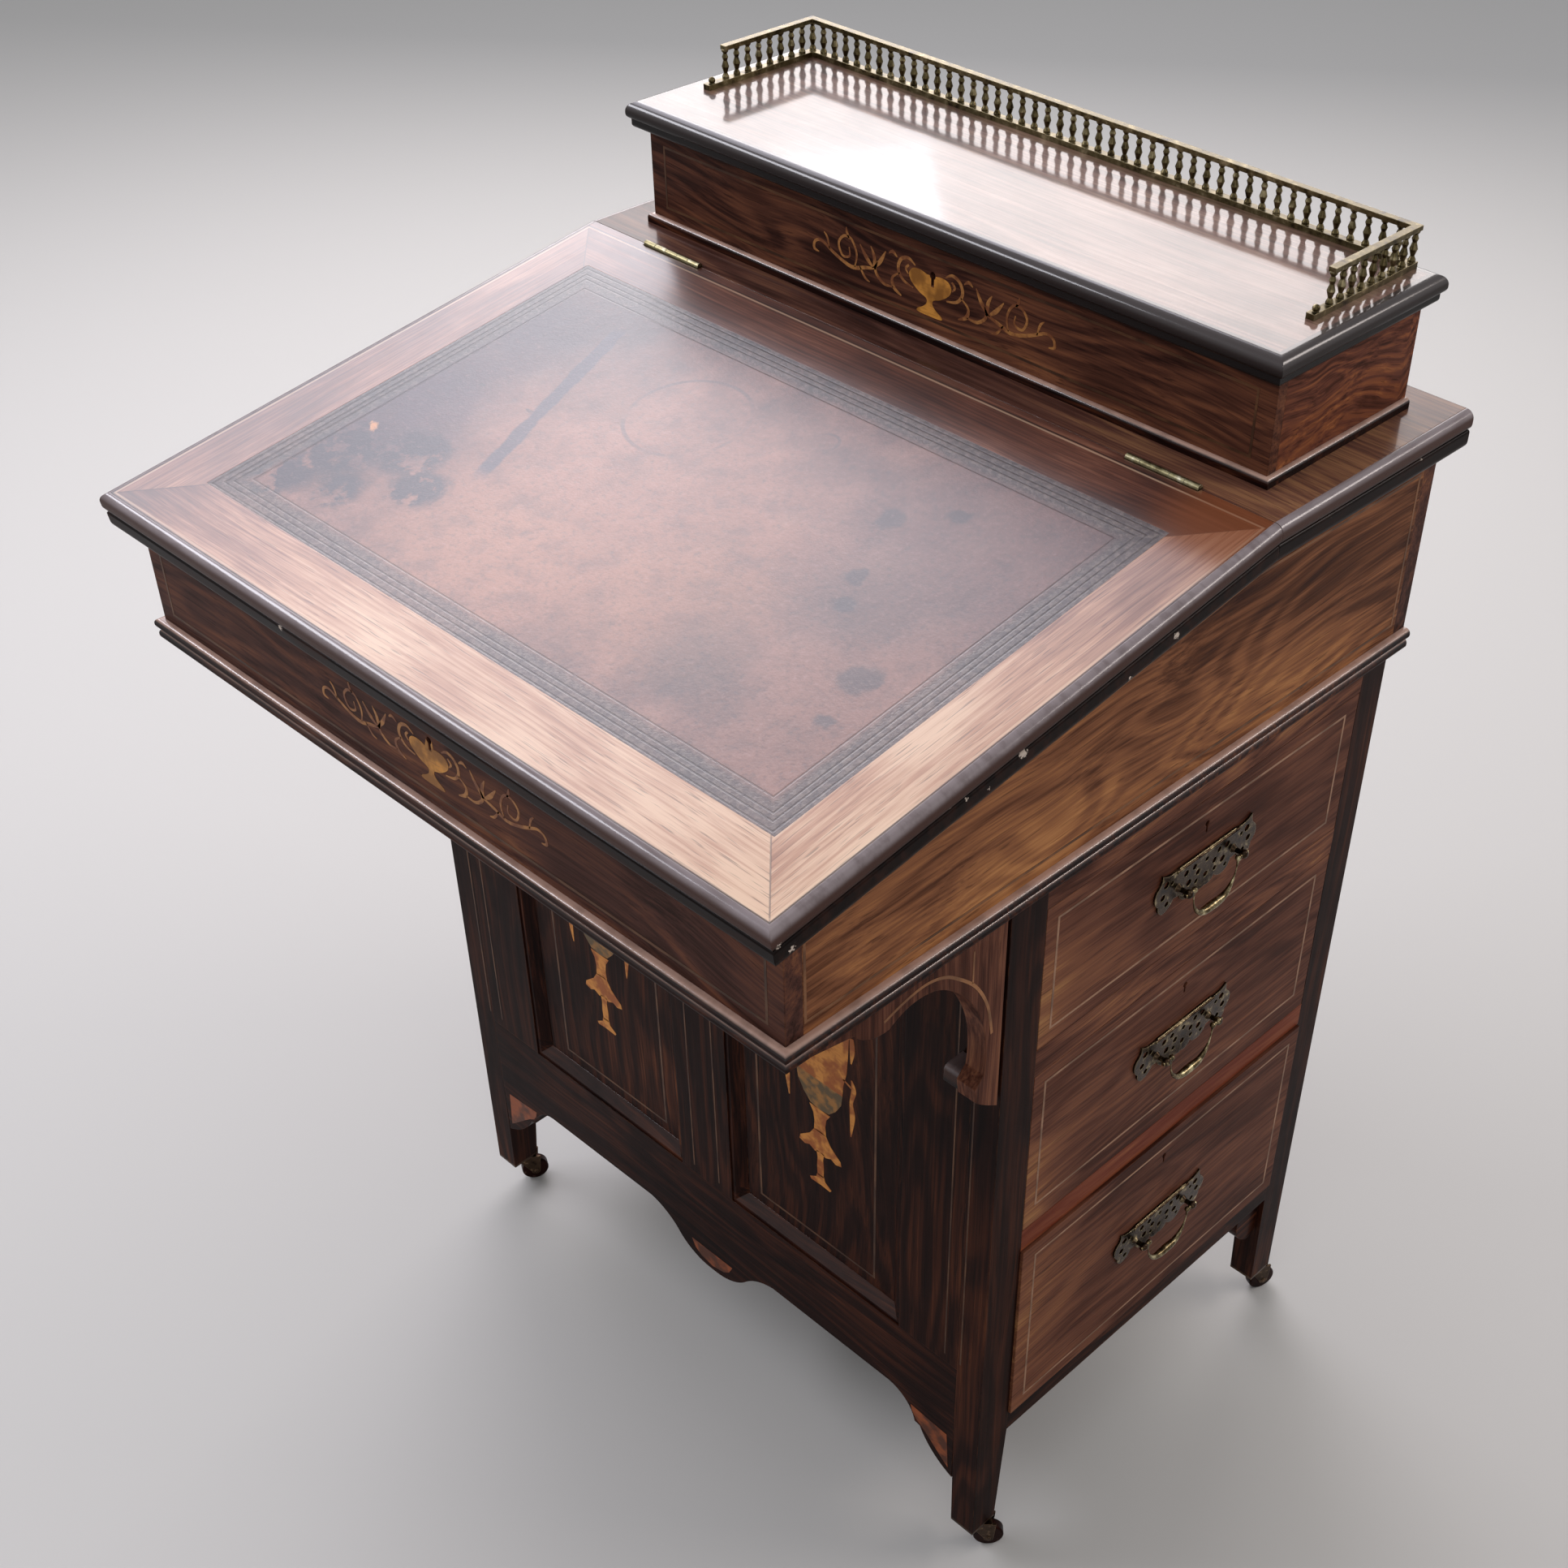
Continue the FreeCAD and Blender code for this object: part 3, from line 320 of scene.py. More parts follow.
def polishedWood(name, changes):
    look = {**rosewoodLook, **changes}
    material, add, shader = newMaterial(name)
    place = millimetres(add, look.get("origin", (0, 0, 0)), look.get("tilt", (0, 0, 0)))
    parts = add(split, [place]).outputs
    order = {"x": (0, 1, 2), "y": (1, 0, 2), "z": (2, 0, 1)}
    grain = add(joined, [parts[i] for i in order[look["grain"]]])
    if "across" in look:
        cross = add(joined, [parts[i] for i in order[look["across"]]])
        grain = add(vectors, [look["mask"](add, parts), grain, cross])
    grain = add(vectorPlus, [grain, look.get("seed", (0, 0, 0))])

    long = add(vectorTimes, [grain, (0.55, 1, 1)])
    bend = add(noise, [long, 1 / look["swirlSize"], 2, 0.45])
    centred = add(vectorMinus, [bend.outputs["Color"], (0.5, 0.5, 0.5)])
    bent = add(vectorTimesPlus, [centred, (look["swirl"] * 2,) * 3, grain])

    made = {}
    for part, (vector, squeeze, across, detail, rough) in {
            # squeeze along the grain, size in mm, detail, roughness
            "figure": (bent, 0.16, look["figureSize"], 1.2, 0.4),
            "streak": (bent, 0.015, look["streak"], 5, 0.62),
            "pores": (bent, 0.035, look["pore"], 1.5, 0.5),
            "patch": (grain, 0.5, look["patchSize"], 3, 0.55),
            "rub": (grain, 1, 14, 4, 0.5),
            "film": (grain, 0.3, 22, 3, 0.5)}.items():
        drawn = add(vectorTimes, [vector, (squeeze, 1, 1)])
        made[part] = add(noise, [drawn, 1 / across, detail, rough])

    figure = made["figure"]
    for y, z, reach, lift in look.get("knots", ()):
        # the lines close into loops round a knot or a cathedral peak
        flat = add(vectorTimes, [place, (0, 0.42, 1)])
        figure = add(plus, [figure, spot(add, flat, (0, y * 0.42, z), reach, 0, lift)])
    turns = add(times, [figure, look["rings"] * 2 * math.pi])
    lines = add(soft, [add(wave, [turns]), -0.9, 1])
    bands = add(even, [made["streak"], 0.32, 0.68])
    level = 0.5 + look["shift"] - (look["streakPart"] + look["ringPart"]) / 2 - look["patchPart"]
    tone = add(timesPlus, [bands, look["streakPart"], level])
    tone = add(timesPlus, [lines, look["ringPart"], tone])
    tone = add(timesPlus, [made["patch"], look["patchPart"] * 2, tone])
    if "lighter" in look:
        tone = add(plus, [tone, look["lighter"](add, parts)])
    stops = list(zip((0, 0.27, 0.5, 0.74, 1), look["tones"]))
    colour = add(("ValToRGB", {"stops": stops}), [tone])
    pore = add(soft, [made["pores"], 0.40, 0.30])
    colour = add(colours, [add(times, [pore, 0.5]), colour, look["tones"][0]])
    if "stain" in look:
        colour = look["stain"](add, parts, colour)
    driven = {}
    facing = add(split, [add(coordinates).outputs["Normal"]]).outputs
    if look["gloss"] > 0.5:
        # a full film stays on what faces up and is rubbed off the upright faces
        driven["Coat Weight"] = add(soft, [facing[2], 0, 0.5, 0.05, look["gloss"]])
    if "sunnedHighlight" in look:
        # painted highlight: the rounds that face up are made lighter, in broken patches
        bleachAndHighlight = add(soft, [facing[2], 0.45, 0.9])
        broken = add(soft, [made["rub"], 0.3, 0.6, 0.7, 1])
        colour = add(colours, [add(times, [bleachAndHighlight, broken]), colour, look["sunnedHighlight"]])
    normal, edge = wornEdge(add, look["edge"])
    worn = add(times, [edge, add(soft, [made["rub"], 0.45, 0.65])])
    colour = add(colours, [add(times, [worn, look["wearPart"]]), colour, look["wear"]])
    height = add(timesPlus, [pore, -1, made["streak"]])
    bump = add(bumped, {"Strength": 0.35, "Distance": 0.05 * mm, "Height": height, "Normal": normal})
    ripple = add(bumped, {"Strength": 0.5, "Distance": 0.12 * mm, "Height": made["film"], "Normal": normal})
    rubbed = add(plus, [worn, made["rub"]])
    rough = add(timesPlus, [rubbed, 0.12, look["roughness"] - 0.06])
    dress(shader, {"IOR": 1.5, "Specular IOR Level": look["shine"], "Coat Weight": look["gloss"],
                   "Coat Roughness": look["polish"], "Coat IOR": 1.5},
          {"Base Color": colour, "Roughness": rough, "Normal": bump, "Coat Normal": ripple, **driven})
    return material


goldenTones = ["#341b12", "#5a3521", "#7e5035", "#9a6640", "#b98150"]
drawerTones = ["#28130e", "#442419", "#623b2c", "#7d5038", "#a3754a"]
fadedTones = ["#3d1f17", "#643a2b", "#8b5b46", "#ba8a6e", "#ddb89a"]
rimTones = ["#2a1712", "#40251d", "#55352c", "#6f4a38", "#8d6446"]
lidTones = ["#2e1d19", "#4d352e", "#694c42", "#806156", "#987b6f"]

redRail = {"low": 304, "high": 327, "edge": 0.5, "part": 0.5, "shade": "#7c351e"}    # mm up


def redderRail(add, parts, colour):
    # the rail over the lowest drawer is cut from redder wood
    above = add(even, [parts[2], redRail["low"], redRail["low"] + redRail["edge"]])
    below = add(even, [parts[2], redRail["high"], redRail["high"] - redRail["edge"]])
    inside = add(times, [add(times, [above, below]), redRail["part"]])
    return add(colours, [inside, colour, redRail["shade"]])


woodLooks = {
    "slopeFrontVeneer": {"seed": (40, 900, 30), "lighter": rightEnd, "swirl": 30, "streakPart": 0.36,
                         "tones": ["#190c0a", "#2f1a14", "#482c25", "#613b2c", "#825438"]},
    "slopeSideVeneer": {"grain": "y", "seed": (300, 50, 210), "tones": goldenTones, "lighter": towardsFront,
                        "swirl": 28, "ringPart": 0.18, "streakPart": 0.42, "patchSize": 110,
                        "patchPart": 0.7, "shift": -0.03,
                        "knots": [(155, 652, 64, 0.34), (-66, 645, 30, 0.26)]},
    "drawerVeneer": {"grain": "y", "seed": (700, 10, 0), "lighter": lowCorner, "swirl": 9,
                     "tones": drawerTones, "streak": 2, "streakPart": 0.28, "rings": 9, "ringPart": 0.13,
                     "shift": -0.03},
    "postRosewood": {"grain": "z", "seed": (90, 0, 400), "swirl": 8, "streak": 3.5,
                     "streakPart": 0.36, "patchPart": 0.35},
    "frontFrameRosewood": {"grain": "z", "across": "x", "mask": railMask,
                           "seed": (0, 330, 0), "swirl": 10, "streakPart": 0.36, "patchPart": 0.4},
    "apronRosewood": {"seed": (500, 0, 90), "swirl": 14, "streakPart": 0.36,
                      "patchPart": 0.45},
    "panelVeneer": {"grain": "z", "seed": (20, 640, 0), "patchPart": 0.45,
                    "streakPart": 0.34},
    # the sunned colour is a painted highlight on the mouldings' upward faces
    "panelMouldRosewood": {"across": "z", "mask": uprightMask, "seed": (7, 3, 80),
                           "edge": 0.6, "gloss": 0.6, "sunnedHighlight": "#4d3833"},
    "bracketVeneer": {"grain": "z", "seed": (20, 70, 800), "tones": drawerTones, "swirl": 10,
                      "ringPart": 0.12},
    "flapBanding": {"across": "y", "mask": bandMask, "origin": flapOrigin, "tilt": flapTilt,
                    "tones": fadedTones, "lighter": bandBleach, "stain": mitreLines, "seed": (60, 250, 0),
                    "swirl": 8, "ringPart": 0.05, "streak": 1.8, "streakPart": 0.36, "patchSize": 60,
                    "patchPart": 0.5, "pore": 0.9, "gloss": 1, "polish": 0.2, "shine": 0.4,
                    "wear": "#c9a98a"},
    "railVeneer": {"tones": rimTones, "lighter": rightEnd, "seed": (0, 450, 60), "swirl": 12,
                   "gloss": 0.4, "shine": 0.1, "shift": 0.06},
    "stationeryFrontVeneer": {"seed": (810, 140, 0), "lighter": rightEnd, "streakPart": 0.34,
                              "swirl": 34, "rings": 11,
                              "tones": ["#1a0d0b", "#341d17", "#523125", "#6e4430", "#8f5d3e"]},
    "stationeryWallVeneer": {"grain": "y", "across": "x", "mask": backMask, "seed": (0, 520, 310),
                             "swirl": 40, "swirlSize": 70, "rings": 10,
                             "tones": ["#2a130c", "#452418", "#63382a", "#834d31", "#a56a40"]},
    "lidVeneer": {"seed": (0, 77, 20), "tones": lidTones, "swirl": 10, "polish": 0.08,
                  "stain": lidRim, "gloss": 0.88, "shine": 0.2},
    # the sunned colour is a painted highlight along the bead's upward round
    "beadRosewood": {"seed": (0, 3, 8), "edge": 0.6, "gloss": 1,
                     "sunnedHighlight": "#bb9888"},
    "sideRailRosewood": {"grain": "y", "seed": (14, 3, 8), "tones": drawerTones, "stain": redderRail},
    "earRosewood": {"grain": "y", "seed": (4, 93, 8)},
}
woods = {name: polishedWood(name, look) for name, look in woodLooks.items()}
print("stage: rosewoods made,", len(woods))


# Pear wood stained black and polished: it shows its highlights, a painted grey highlight (the bloom) on what
# faces up along the nose of the moulding, and pale chips where it has been knocked
# the bloom colour is a painted sky highlight on the rounds that face up
ebonisedLook = {"body": "#140c0a", "nosed": "#452a22", "bloomHighlight": "#94888a", "brown": "#2e1a14",
                "chip": "#c4b5a8", "worn": "#6b5148", "roughness": 0.34, "polish": 0.14, "nose": 12}
# chips, mm in each moulding's own place: x, y, z and reach
flapChips = [(278.5, -88.7, -16.1, 4.4), (278.5, -126, -19.8, 3.7), (278.5, -179.1, -23, 3.2),
             (278.5, -207.8, -12.9, 4.9), (278.5, -233.6, -17.2, 3.2), (278.5, -249, -13.3, 3.4),
             (278.5, -260.2, -10.3, 3.3), (278.5, -364.8, -24, 3.9), (278.5, -367.8, -18.1, 4.2),
             (278.5, -374.7, -10.1, 4.4), (-105, -379, -13, 3.6)]
railChips = [(279, 135, -12, 3.2), (279, 47, -14, 2.4)]


def ebonisedWood(name, grain, origin, tilt, bloomHighlight, chips):
    look = ebonisedLook
    material, add, shader = newMaterial(name)
    place = millimetres(add, origin, tilt)
    parts = add(split, [place]).outputs
    stretched = add(vectorTimes, [place, (0.2, 1, 1) if grain == "x" else (1, 0.2, 1)])
    rub = add(noise, [stretched, 1 / 9, 5, 0.6])
    torn = add(noise, [place, 1 / 1.5, 3])
    colour = add(colours, [add(soft, [rub, 0.42, 0.7, 0, 0.8]), look["body"], look["brown"]])
    # browner on the nose, and the painted grey highlight lies on what faces up, above the groove
    nosed = add(soft, [parts[2], -look["nose"] + 1, -look["nose"] + 5, 0, bloomHighlight])
    colour = add(colours, [nosed, colour, look["nosed"]])
    facing = add(split, [add(coordinates).outputs["Normal"]]).outputs
    upward = add(soft, [facing[2], 0.1, 0.75])
    above = add(soft, [parts[2], -look["nose"] + 3, -look["nose"] + 7, 0, bloomHighlight])
    highlightMask = add(times, [add(times, [upward, above]), add(soft, [rub, 0.3, 0.6, 0.6, 1])])
    colour = add(colours, [highlightMask, colour, look["bloomHighlight"]])
    chipped = None
    for cx, cy, cz, reach in chips:
        away = add(timesPlus, [torn, 6, add(apart, [place, (cx, cy, cz)])])
        chip = add(soft, [away, reach + 0.8, reach + 0.2, 0, 0.95])
        chipped = chip if chipped is None else add(larger, [chipped, chip])
    height = rub
    if chipped is not None:
        colour = add(colours, [chipped, colour, look["chip"]])
        height = add(timesPlus, [chipped, -1.5, rub])
    normal, edge = wornEdge(add, 0.8)
    worn = add(times, [edge, add(soft, [rub, 0.4, 0.62, 0, 0.5])])
    colour = add(colours, [worn, colour, look["worn"]])
    bump = add(bumped, {"Strength": 0.4, "Distance": 0.06 * mm, "Height": height, "Normal": normal})
    rough = add(timesPlus, [rub, 0.3, look["roughness"] - 0.12])
    # the film is worn off the upright faces and below the groove
    film = add(soft, [parts[2], -look["nose"] - 1, -look["nose"] + 1])
    film = add(times, [film, add(soft, [facing[2], -0.1, 0.4, 0.1, 1])])
    dress(shader, {"IOR": 1.5, "Specular IOR Level": 0.05, "Coat Roughness": look["polish"], "Coat IOR": 1.5},
          {"Base Color": colour, "Roughness": rough, "Normal": bump, "Coat Normal": normal,
           "Coat Weight": film})
    return material


# which way the grain runs, where the moulding's own place is, how it is turned, its painted highlight and its
# chips
ebonised = {name: ebonisedWood(name, *look) for name, look in {
    "ebonisedFlapMoulding": ("x", flapOrigin, flapTilt, 0.85, flapChips),
    "ebonisedRailMoulding": ("y", (0, kinkY, topZ), (0, 0, 0), 0.85, railChips),
    # the block's top gets the painted highlight too
    "ebonisedBlock": ("y", (0, 0, corners("ledge_blocks")[1].z), (0, 0, 0), 0.7, ()),
}.items()}


# Plain planed wood for what stays inside: mahogany drawer linings and knotty yellow pine, dry and unpolished
liningLooks = {
    "mahoganyLining": {"squeeze": (0.05, 1, 1), "tones": ["#3b1a10", "#63301d", "#8a4d2f"], "streak": 5},
    "yellowPine": {"squeeze": (0.05, 1, 1), "tones": ["#6b3f26", "#94603b", "#b88556"], "streak": 9},
    "backboardPine": {"squeeze": (1, 1, 0.05), "tones": ["#24140e", "#3d2519", "#5c3c28"], "streak": 9},
}


def planedWood(name, look):
    material, add, shader = newMaterial(name)
    place = millimetres(add)
    wander = add(noise, [place, 1 / 160, 2])
    bent = add(vectorTimesPlus, [wander.outputs["Color"], (16, 16, 16), place])
    long = add(vectorTimes, [bent, look["squeeze"]])
    streak = add(noise, [long, 1 / look["streak"], 6, 0.6])
    fibre = add(noise, [long, 1 / 1.1, 2])
    stops = list(zip((0, 0.5, 1), look["tones"]))
    colour = add(("ValToRGB", {"stops": stops}), [add(even, [streak, 0.3, 0.7])])
    colour = add(colours, [add(soft, [fibre, 0.45, 0.3, 0, 0.4]), colour, look["tones"][0]])
    normal, edge = wornEdge(add, 0.6)
    colour = add(colours, [add(times, [edge, 0.3]), colour, look["tones"][-1]])
    bump = add(bumped, {"Strength": 0.5, "Distance": 0.1 * mm, "Height": fibre, "Normal": normal})
    rough = add(timesPlus, [fibre, 0.25, 0.55])
    dress(shader, {"IOR": 1.5}, {"Base Color": colour, "Roughness": rough, "Normal": bump})
    return material


linings = {name: planedWood(name, look) for name, look in liningLooks.items()}


# Writing leather: skiver rubbed pale and warm in the middle, blue-grey where ink and damp got in, with a
# blind-tooled border; its wax gives a broad cool sheen
leatherLook = {
    "base": ["#36272a", "#543a39", "#734e47", "#8f6458", "#ab7f6c"],
    "grainSize": 1.5,      # mm, twice the real pebble so that it shows
    # broad areas: middle x and distance from the hinge, reach, colour, strength
    "areas": [(-20, 210, 190, "#a36c58", 0.75), (-50, 285, 100, "#b27a60", 0.5),
              (70, 245, 90, "#a06c52", 0.4), (215, 90, 190, "#6a4a48", 0.8),
              (200, 260, 110, "#98685a", 0.65), (150, 180, 60, "#54403f", 0.4),
              (112, 268, 44, "#55423f", 0.5), (-225, 50, 150, "#2b2730", 0.9),
              (-215, 135, 90, "#332d3c", 0.8), (-195, 215, 80, "#3b3142", 0.8)],
    "mottle": "#3c2c30",
    "ink": "#221f30",
    "blotches": [(-196, 262, 34), (-158, 240, 30), (-128, 262, 24), (-205, 300, 26),
                 (-166, 290, 20)],
    "streak": [(-160, 80), (-110, 232)],
    "streakShade": "#2a2c42",
    "spots": [(128, 168, 7), (140, 188, 7), (108, 120, 9), (188, 226, 12),
              (136, 98, 8), (-137, 170, 2), (-182, 172, 2), (196, 262, 7)],
    "spotShade": "#2c2b36",
    "rings": [(-55, 120, 38, 1.2), (28, 90, 8, 1)],
    "ringShade": "#3a3038",
    "burn": (-202, 238, 4.5, "#c98a5c"),
    "bare": "#bfa09a",
    "grime": "#33262a",
    "border": "#2e2b2e",
    "dust": "#6b6460",
    "tooling": [3, 8, 12, 20],     # lines, mm in from the edge
    "tooled": "#171517",
}


def writingLeather():
    look = leatherLook
    material, add, shader = newMaterial("tooledSkiver")
    place = millimetres(add, flapOrigin, flapTilt)
    torn = add(noise, [place, 1 / 17, 5, 0.62])
    centred = add(vectorMinus, [torn.outputs["Color"], (0.5, 0.5, 0.5)])
    ragged = add(vectorTimesPlus, [centred, (18, 18, 0), place])
    parts = add(split, [place]).outputs
    x, y = parts[0], parts[1]
    cloud = add(noise, [place, 1 / 60, 6, 0.6])
    mottle = add(noise, [place, 1 / 20, 7, 0.62])
    scuff = add(noise, [place, 1 / 4, 5, 0.7])

    stops = list(zip((0, 0.3, 0.5, 0.72, 1), look["base"]))
    colour = add(("ValToRGB", {"stops": stops}), [add(even, [cloud, 0.25, 0.75])])
    for ax, aq, reach, shade, strength in look["areas"]:
        near = spot(add, ragged, (ax, -aq, 0), reach, reach * 0.25, strength)
        patchy = add(soft, [mottle, 0.25, 0.6, 0.75, 1])
        colour = add(colours, [add(times, [near, patchy]), colour, shade])
    dark = add(soft, [mottle, 0.56, 0.3, 0, 0.32])
    colour = add(colours, [dark, colour, look["mottle"]])
    for bx, bq, reach in look["blotches"]:
        near = spot(add, ragged, (bx, -bq, 0), reach, reach * 0.5, 0.95)
        patchy = add(soft, [torn, 0.4, 0.5])
        colour = add(colours, [add(times, [near, patchy]), colour, look["ink"]])

    # the long ink streak: how far along it and how far aside
    (ax, aq), (cx, cq) = look["streak"]
    length = math.hypot(cx - ax, cq - aq)
    turned = add(placed, {"Vector": place, "Location": (ax, -aq, 0),
                          "Rotation": (0, 0, math.atan2(aq - cq, cx - ax))})
    run = add(split, [turned]).outputs
    aside = add(timesPlus, [torn, -7, add(size, [run[1]])])
    inside = add(soft, [aside, 2.6, 0.2, 0, 0.85])
    ends = add(times, [add(soft, [run[0], -4, 6]), add(soft, [run[0], length + 6, length - 10])])
    colour = add(colours, [add(times, [inside, ends]), colour, look["streakShade"]])

    for sx, sq, reach in look["spots"]:
        near = spot(add, ragged, (sx, -sq, 0), reach * 1.2, reach * 0.6, 0.7)
        colour = add(colours, [near, colour, look["spotShade"]])
    for sx, sq, reach, line in look["rings"]:
        away = add(apart, [place, (sx, -sq, 0)])
        mark = add(times, [lineAt(add, away, reach, line * 1.5, line * 0.5),
                           add(soft, [cloud, 0.38, 0.52, 0, 0.6])])
        colour = add(colours, [mark, colour, look["ringShade"]])
    sx, sq, reach, shade = look["burn"]
    colour = add(colours, [spot(add, ragged, (sx, -sq, 0), reach, reach * 0.5), colour, shade])
    rubbed = add(soft, [scuff, 0.5, 0.75, 0, 0.22])
    colour = add(colours, [rubbed, colour, look["bare"]])
    grime = add(soft, [scuff, 0.52, 0.3, 0, 0.45])
    colour = add(colours, [grime, colour, look["grime"]])

    # the border: inset from the edge of the leather, in mm
    side = add(minus, [leather["half"], add(size, [x])])
    back = add(minus, [add(times, [y, -1]), leather["back"]])
    front = add(plus, [y, leather["front"]])
    inset = add(smaller, [side, add(smaller, [back, front])])
    border = add(soft, [inset, 23, 15, 0, 0.72])
    dust = add(colours, [add(soft, [scuff, 0.4, 0.65]), look["border"], look["dust"]])
    colour = add(colours, [border, colour, dust])
    tooled = None
    for depth in look["tooling"]:
        groove = lineAt(add, inset, depth, 0.8, 0.3)
        tooled = groove if tooled is None else add(larger, [tooled, groove])
    # a wavy roll between the two inner lines, 5 mm to a turn, nearly rubbed away
    waves = [add(wave, [add(times, [v, 2 * math.pi / 5])]) for v in (x, y)]
    motif = add(timesPlus, [add(times, waves), 1.6, 16])
    tooled = add(larger, [tooled, add(times, [lineAt(add, inset, motif, 0.9, 0.3, 0.5), cloud])])
    tooled = add(times, [tooled, add(soft, [scuff, 0.3, 0.5])])
    colour = add(colours, [add(times, [tooled, 0.4]), colour, look["tooled"]])

    pebble = add(cells, {"Vector": place, "Scale": 1 / look["grainSize"]})
    height = add(timesPlus, [pebble, 0.25, add(times, [scuff, 0.5])])
    height = add(timesPlus, [tooled, -0.8, height])
    height = add(timesPlus, [cloud, 2, height])
    bump = add(bumped, {"Strength": 0.5, "Distance": 0.25 * mm, "Height": height})
    rough = add(timesPlus, [scuff, 0.3, 0.3])
    # the wax is thinner at the damp left end
    wax = add(soft, [x, -225, -60, 0.74, 1])
    dress(shader, {"IOR": 1.5, "Coat Roughness": 0.34, "Coat IOR": 1.5},
          {"Base Color": colour, "Roughness": rough, "Normal": bump, "Coat Normal": bump,
           "Coat Weight": wax})
    return material


# Cast brass under old lacquer: olive brown in the hollows, rubbed paler on what fingers reach
brassLooks = {
    "patinatedBrass": {"hollow": "#17110c", "skin": "#403226", "rubbed": "#b5a580", "roughness": 0.28,
                       "spread": 0.53},
    "handledBrass": {"hollow": "#2a2216", "skin": "#6b5c42", "rubbed": "#d2c69c", "roughness": 0.26,
                     "spread": 0.44},
    "galleryBrass": {"hollow": "#2a2114", "skin": "#5f5439", "rubbed": "#a09372", "roughness": 0.34,
                     "spread": 0.5},
    "hingeBrass": {"hollow": "#61583f", "skin": "#8d8463", "rubbed": "#c4bda6", "roughness": 0.34,
                   "spread": 0.52},
    "casterBrass": {"hollow": "#1d1511", "skin": "#45362a", "rubbed": "#94795f", "roughness": 0.34,
                    "spread": 0.55},
    "casterTread": {"hollow": "#150c0a", "skin": "#2c1612", "rubbed": "#5e443c", "roughness": 0.42,
                    "spread": 0.6},
}


def oldBrass(name, look):
    material, add, shader = newMaterial(name)
    place = millimetres(add)
    tarnish = add(noise, [place, 1 / 6, 5, 0.6])
    pits = add(noise, [place, 1 / 0.8, 3])
    normal, edge = wornEdge(add, 0.5)
    bare = add(larger, [add(times, [edge, 0.7]), add(soft, [tarnish, look["spread"], 0.75])])
    colour = add(colours, [add(soft, [tarnish, 0.3, 0.5]), look["hollow"], look["skin"]])
    colour = add(colours, [bare, colour, look["rubbed"]])
    bump = add(bumped, {"Strength": 0.3, "Distance": 0.08 * mm, "Height": pits, "Normal": normal})
    rough = add(timesPlus, [tarnish, 0.3, look["roughness"] - 0.15])
    dress(shader, {"Metallic": 1}, {"Base Color": colour, "Roughness": rough, "Normal": bump})
    return material


materials = {**woods, **ebonised, **linings, "tooledSkiver": writingLeather()}
materials.update({name: oldBrass(name, look) for name, look in brassLooks.items()})


# Marquetry woods: satinwood and box, scorched in hot sand for the shaded sides, under the same worn polish
inlayLooks = {
    "satinwoodInlay": {"pale": "#c8843a", "deep": "#94501f", "size": 9},
    "urnInlay": {"pale": "#cf8e3e", "deep": "#8a5a26", "size": 14},
    "scorchedInlay": {"pale": "#9a6a34", "deep": "#5c4a30", "size": 8},
    "sprayInlay": {"pale": "#a5713f", "deep": "#74452a", "size": 7},
    "boxwoodString": {"pale": "#9a745a", "deep": "#6f523f", "size": 24},
    "bracketString": {"pale": "#9a6840", "deep": "#6e482c", "size": 24},
    "darkString": {"pale": "#7d5334", "deep": "#533521", "size": 24},
    "dimString": {"pale": "#60402a", "deep": "#3b2519", "size": 30},
    "cornerInlay": {"pale": "#8a4520", "deep": "#4d2614", "size": 12},
}


def marquetryWood(name, look):
    material, add, shader = newMaterial(name)
    place = millimetres(add)
    patch = add(noise, [place, 1 / look["size"], 3])
    long = add(vectorTimes, [place, (0.12, 1, 1)])
    fibre = add(noise, [long, 1 / 1.2, 3])
    colour = add(colours, [add(soft, [patch, 0.38, 0.62]), look["deep"], look["pale"]])
    colour = add(colours, [add(soft, [fibre, 0.48, 0.36, 0, 0.35]), colour, look["deep"]])
    bump = add(bumped, {"Strength": 0.3, "Distance": 0.04 * mm, "Height": fibre})
    rough = add(timesPlus, [fibre, 0.15, 0.35])
    dress(shader, {"IOR": 1.5, "Specular IOR Level": 0.12, "Coat Weight": 0.12, "Coat Roughness": 0.12},
          {"Base Color": colour, "Roughness": rough, "Normal": bump})
    return material


inlays = {name: marquetryWood(name, look) for name, look in inlayLooks.items()}
print("stage: leather, brass and marquetry woods made")


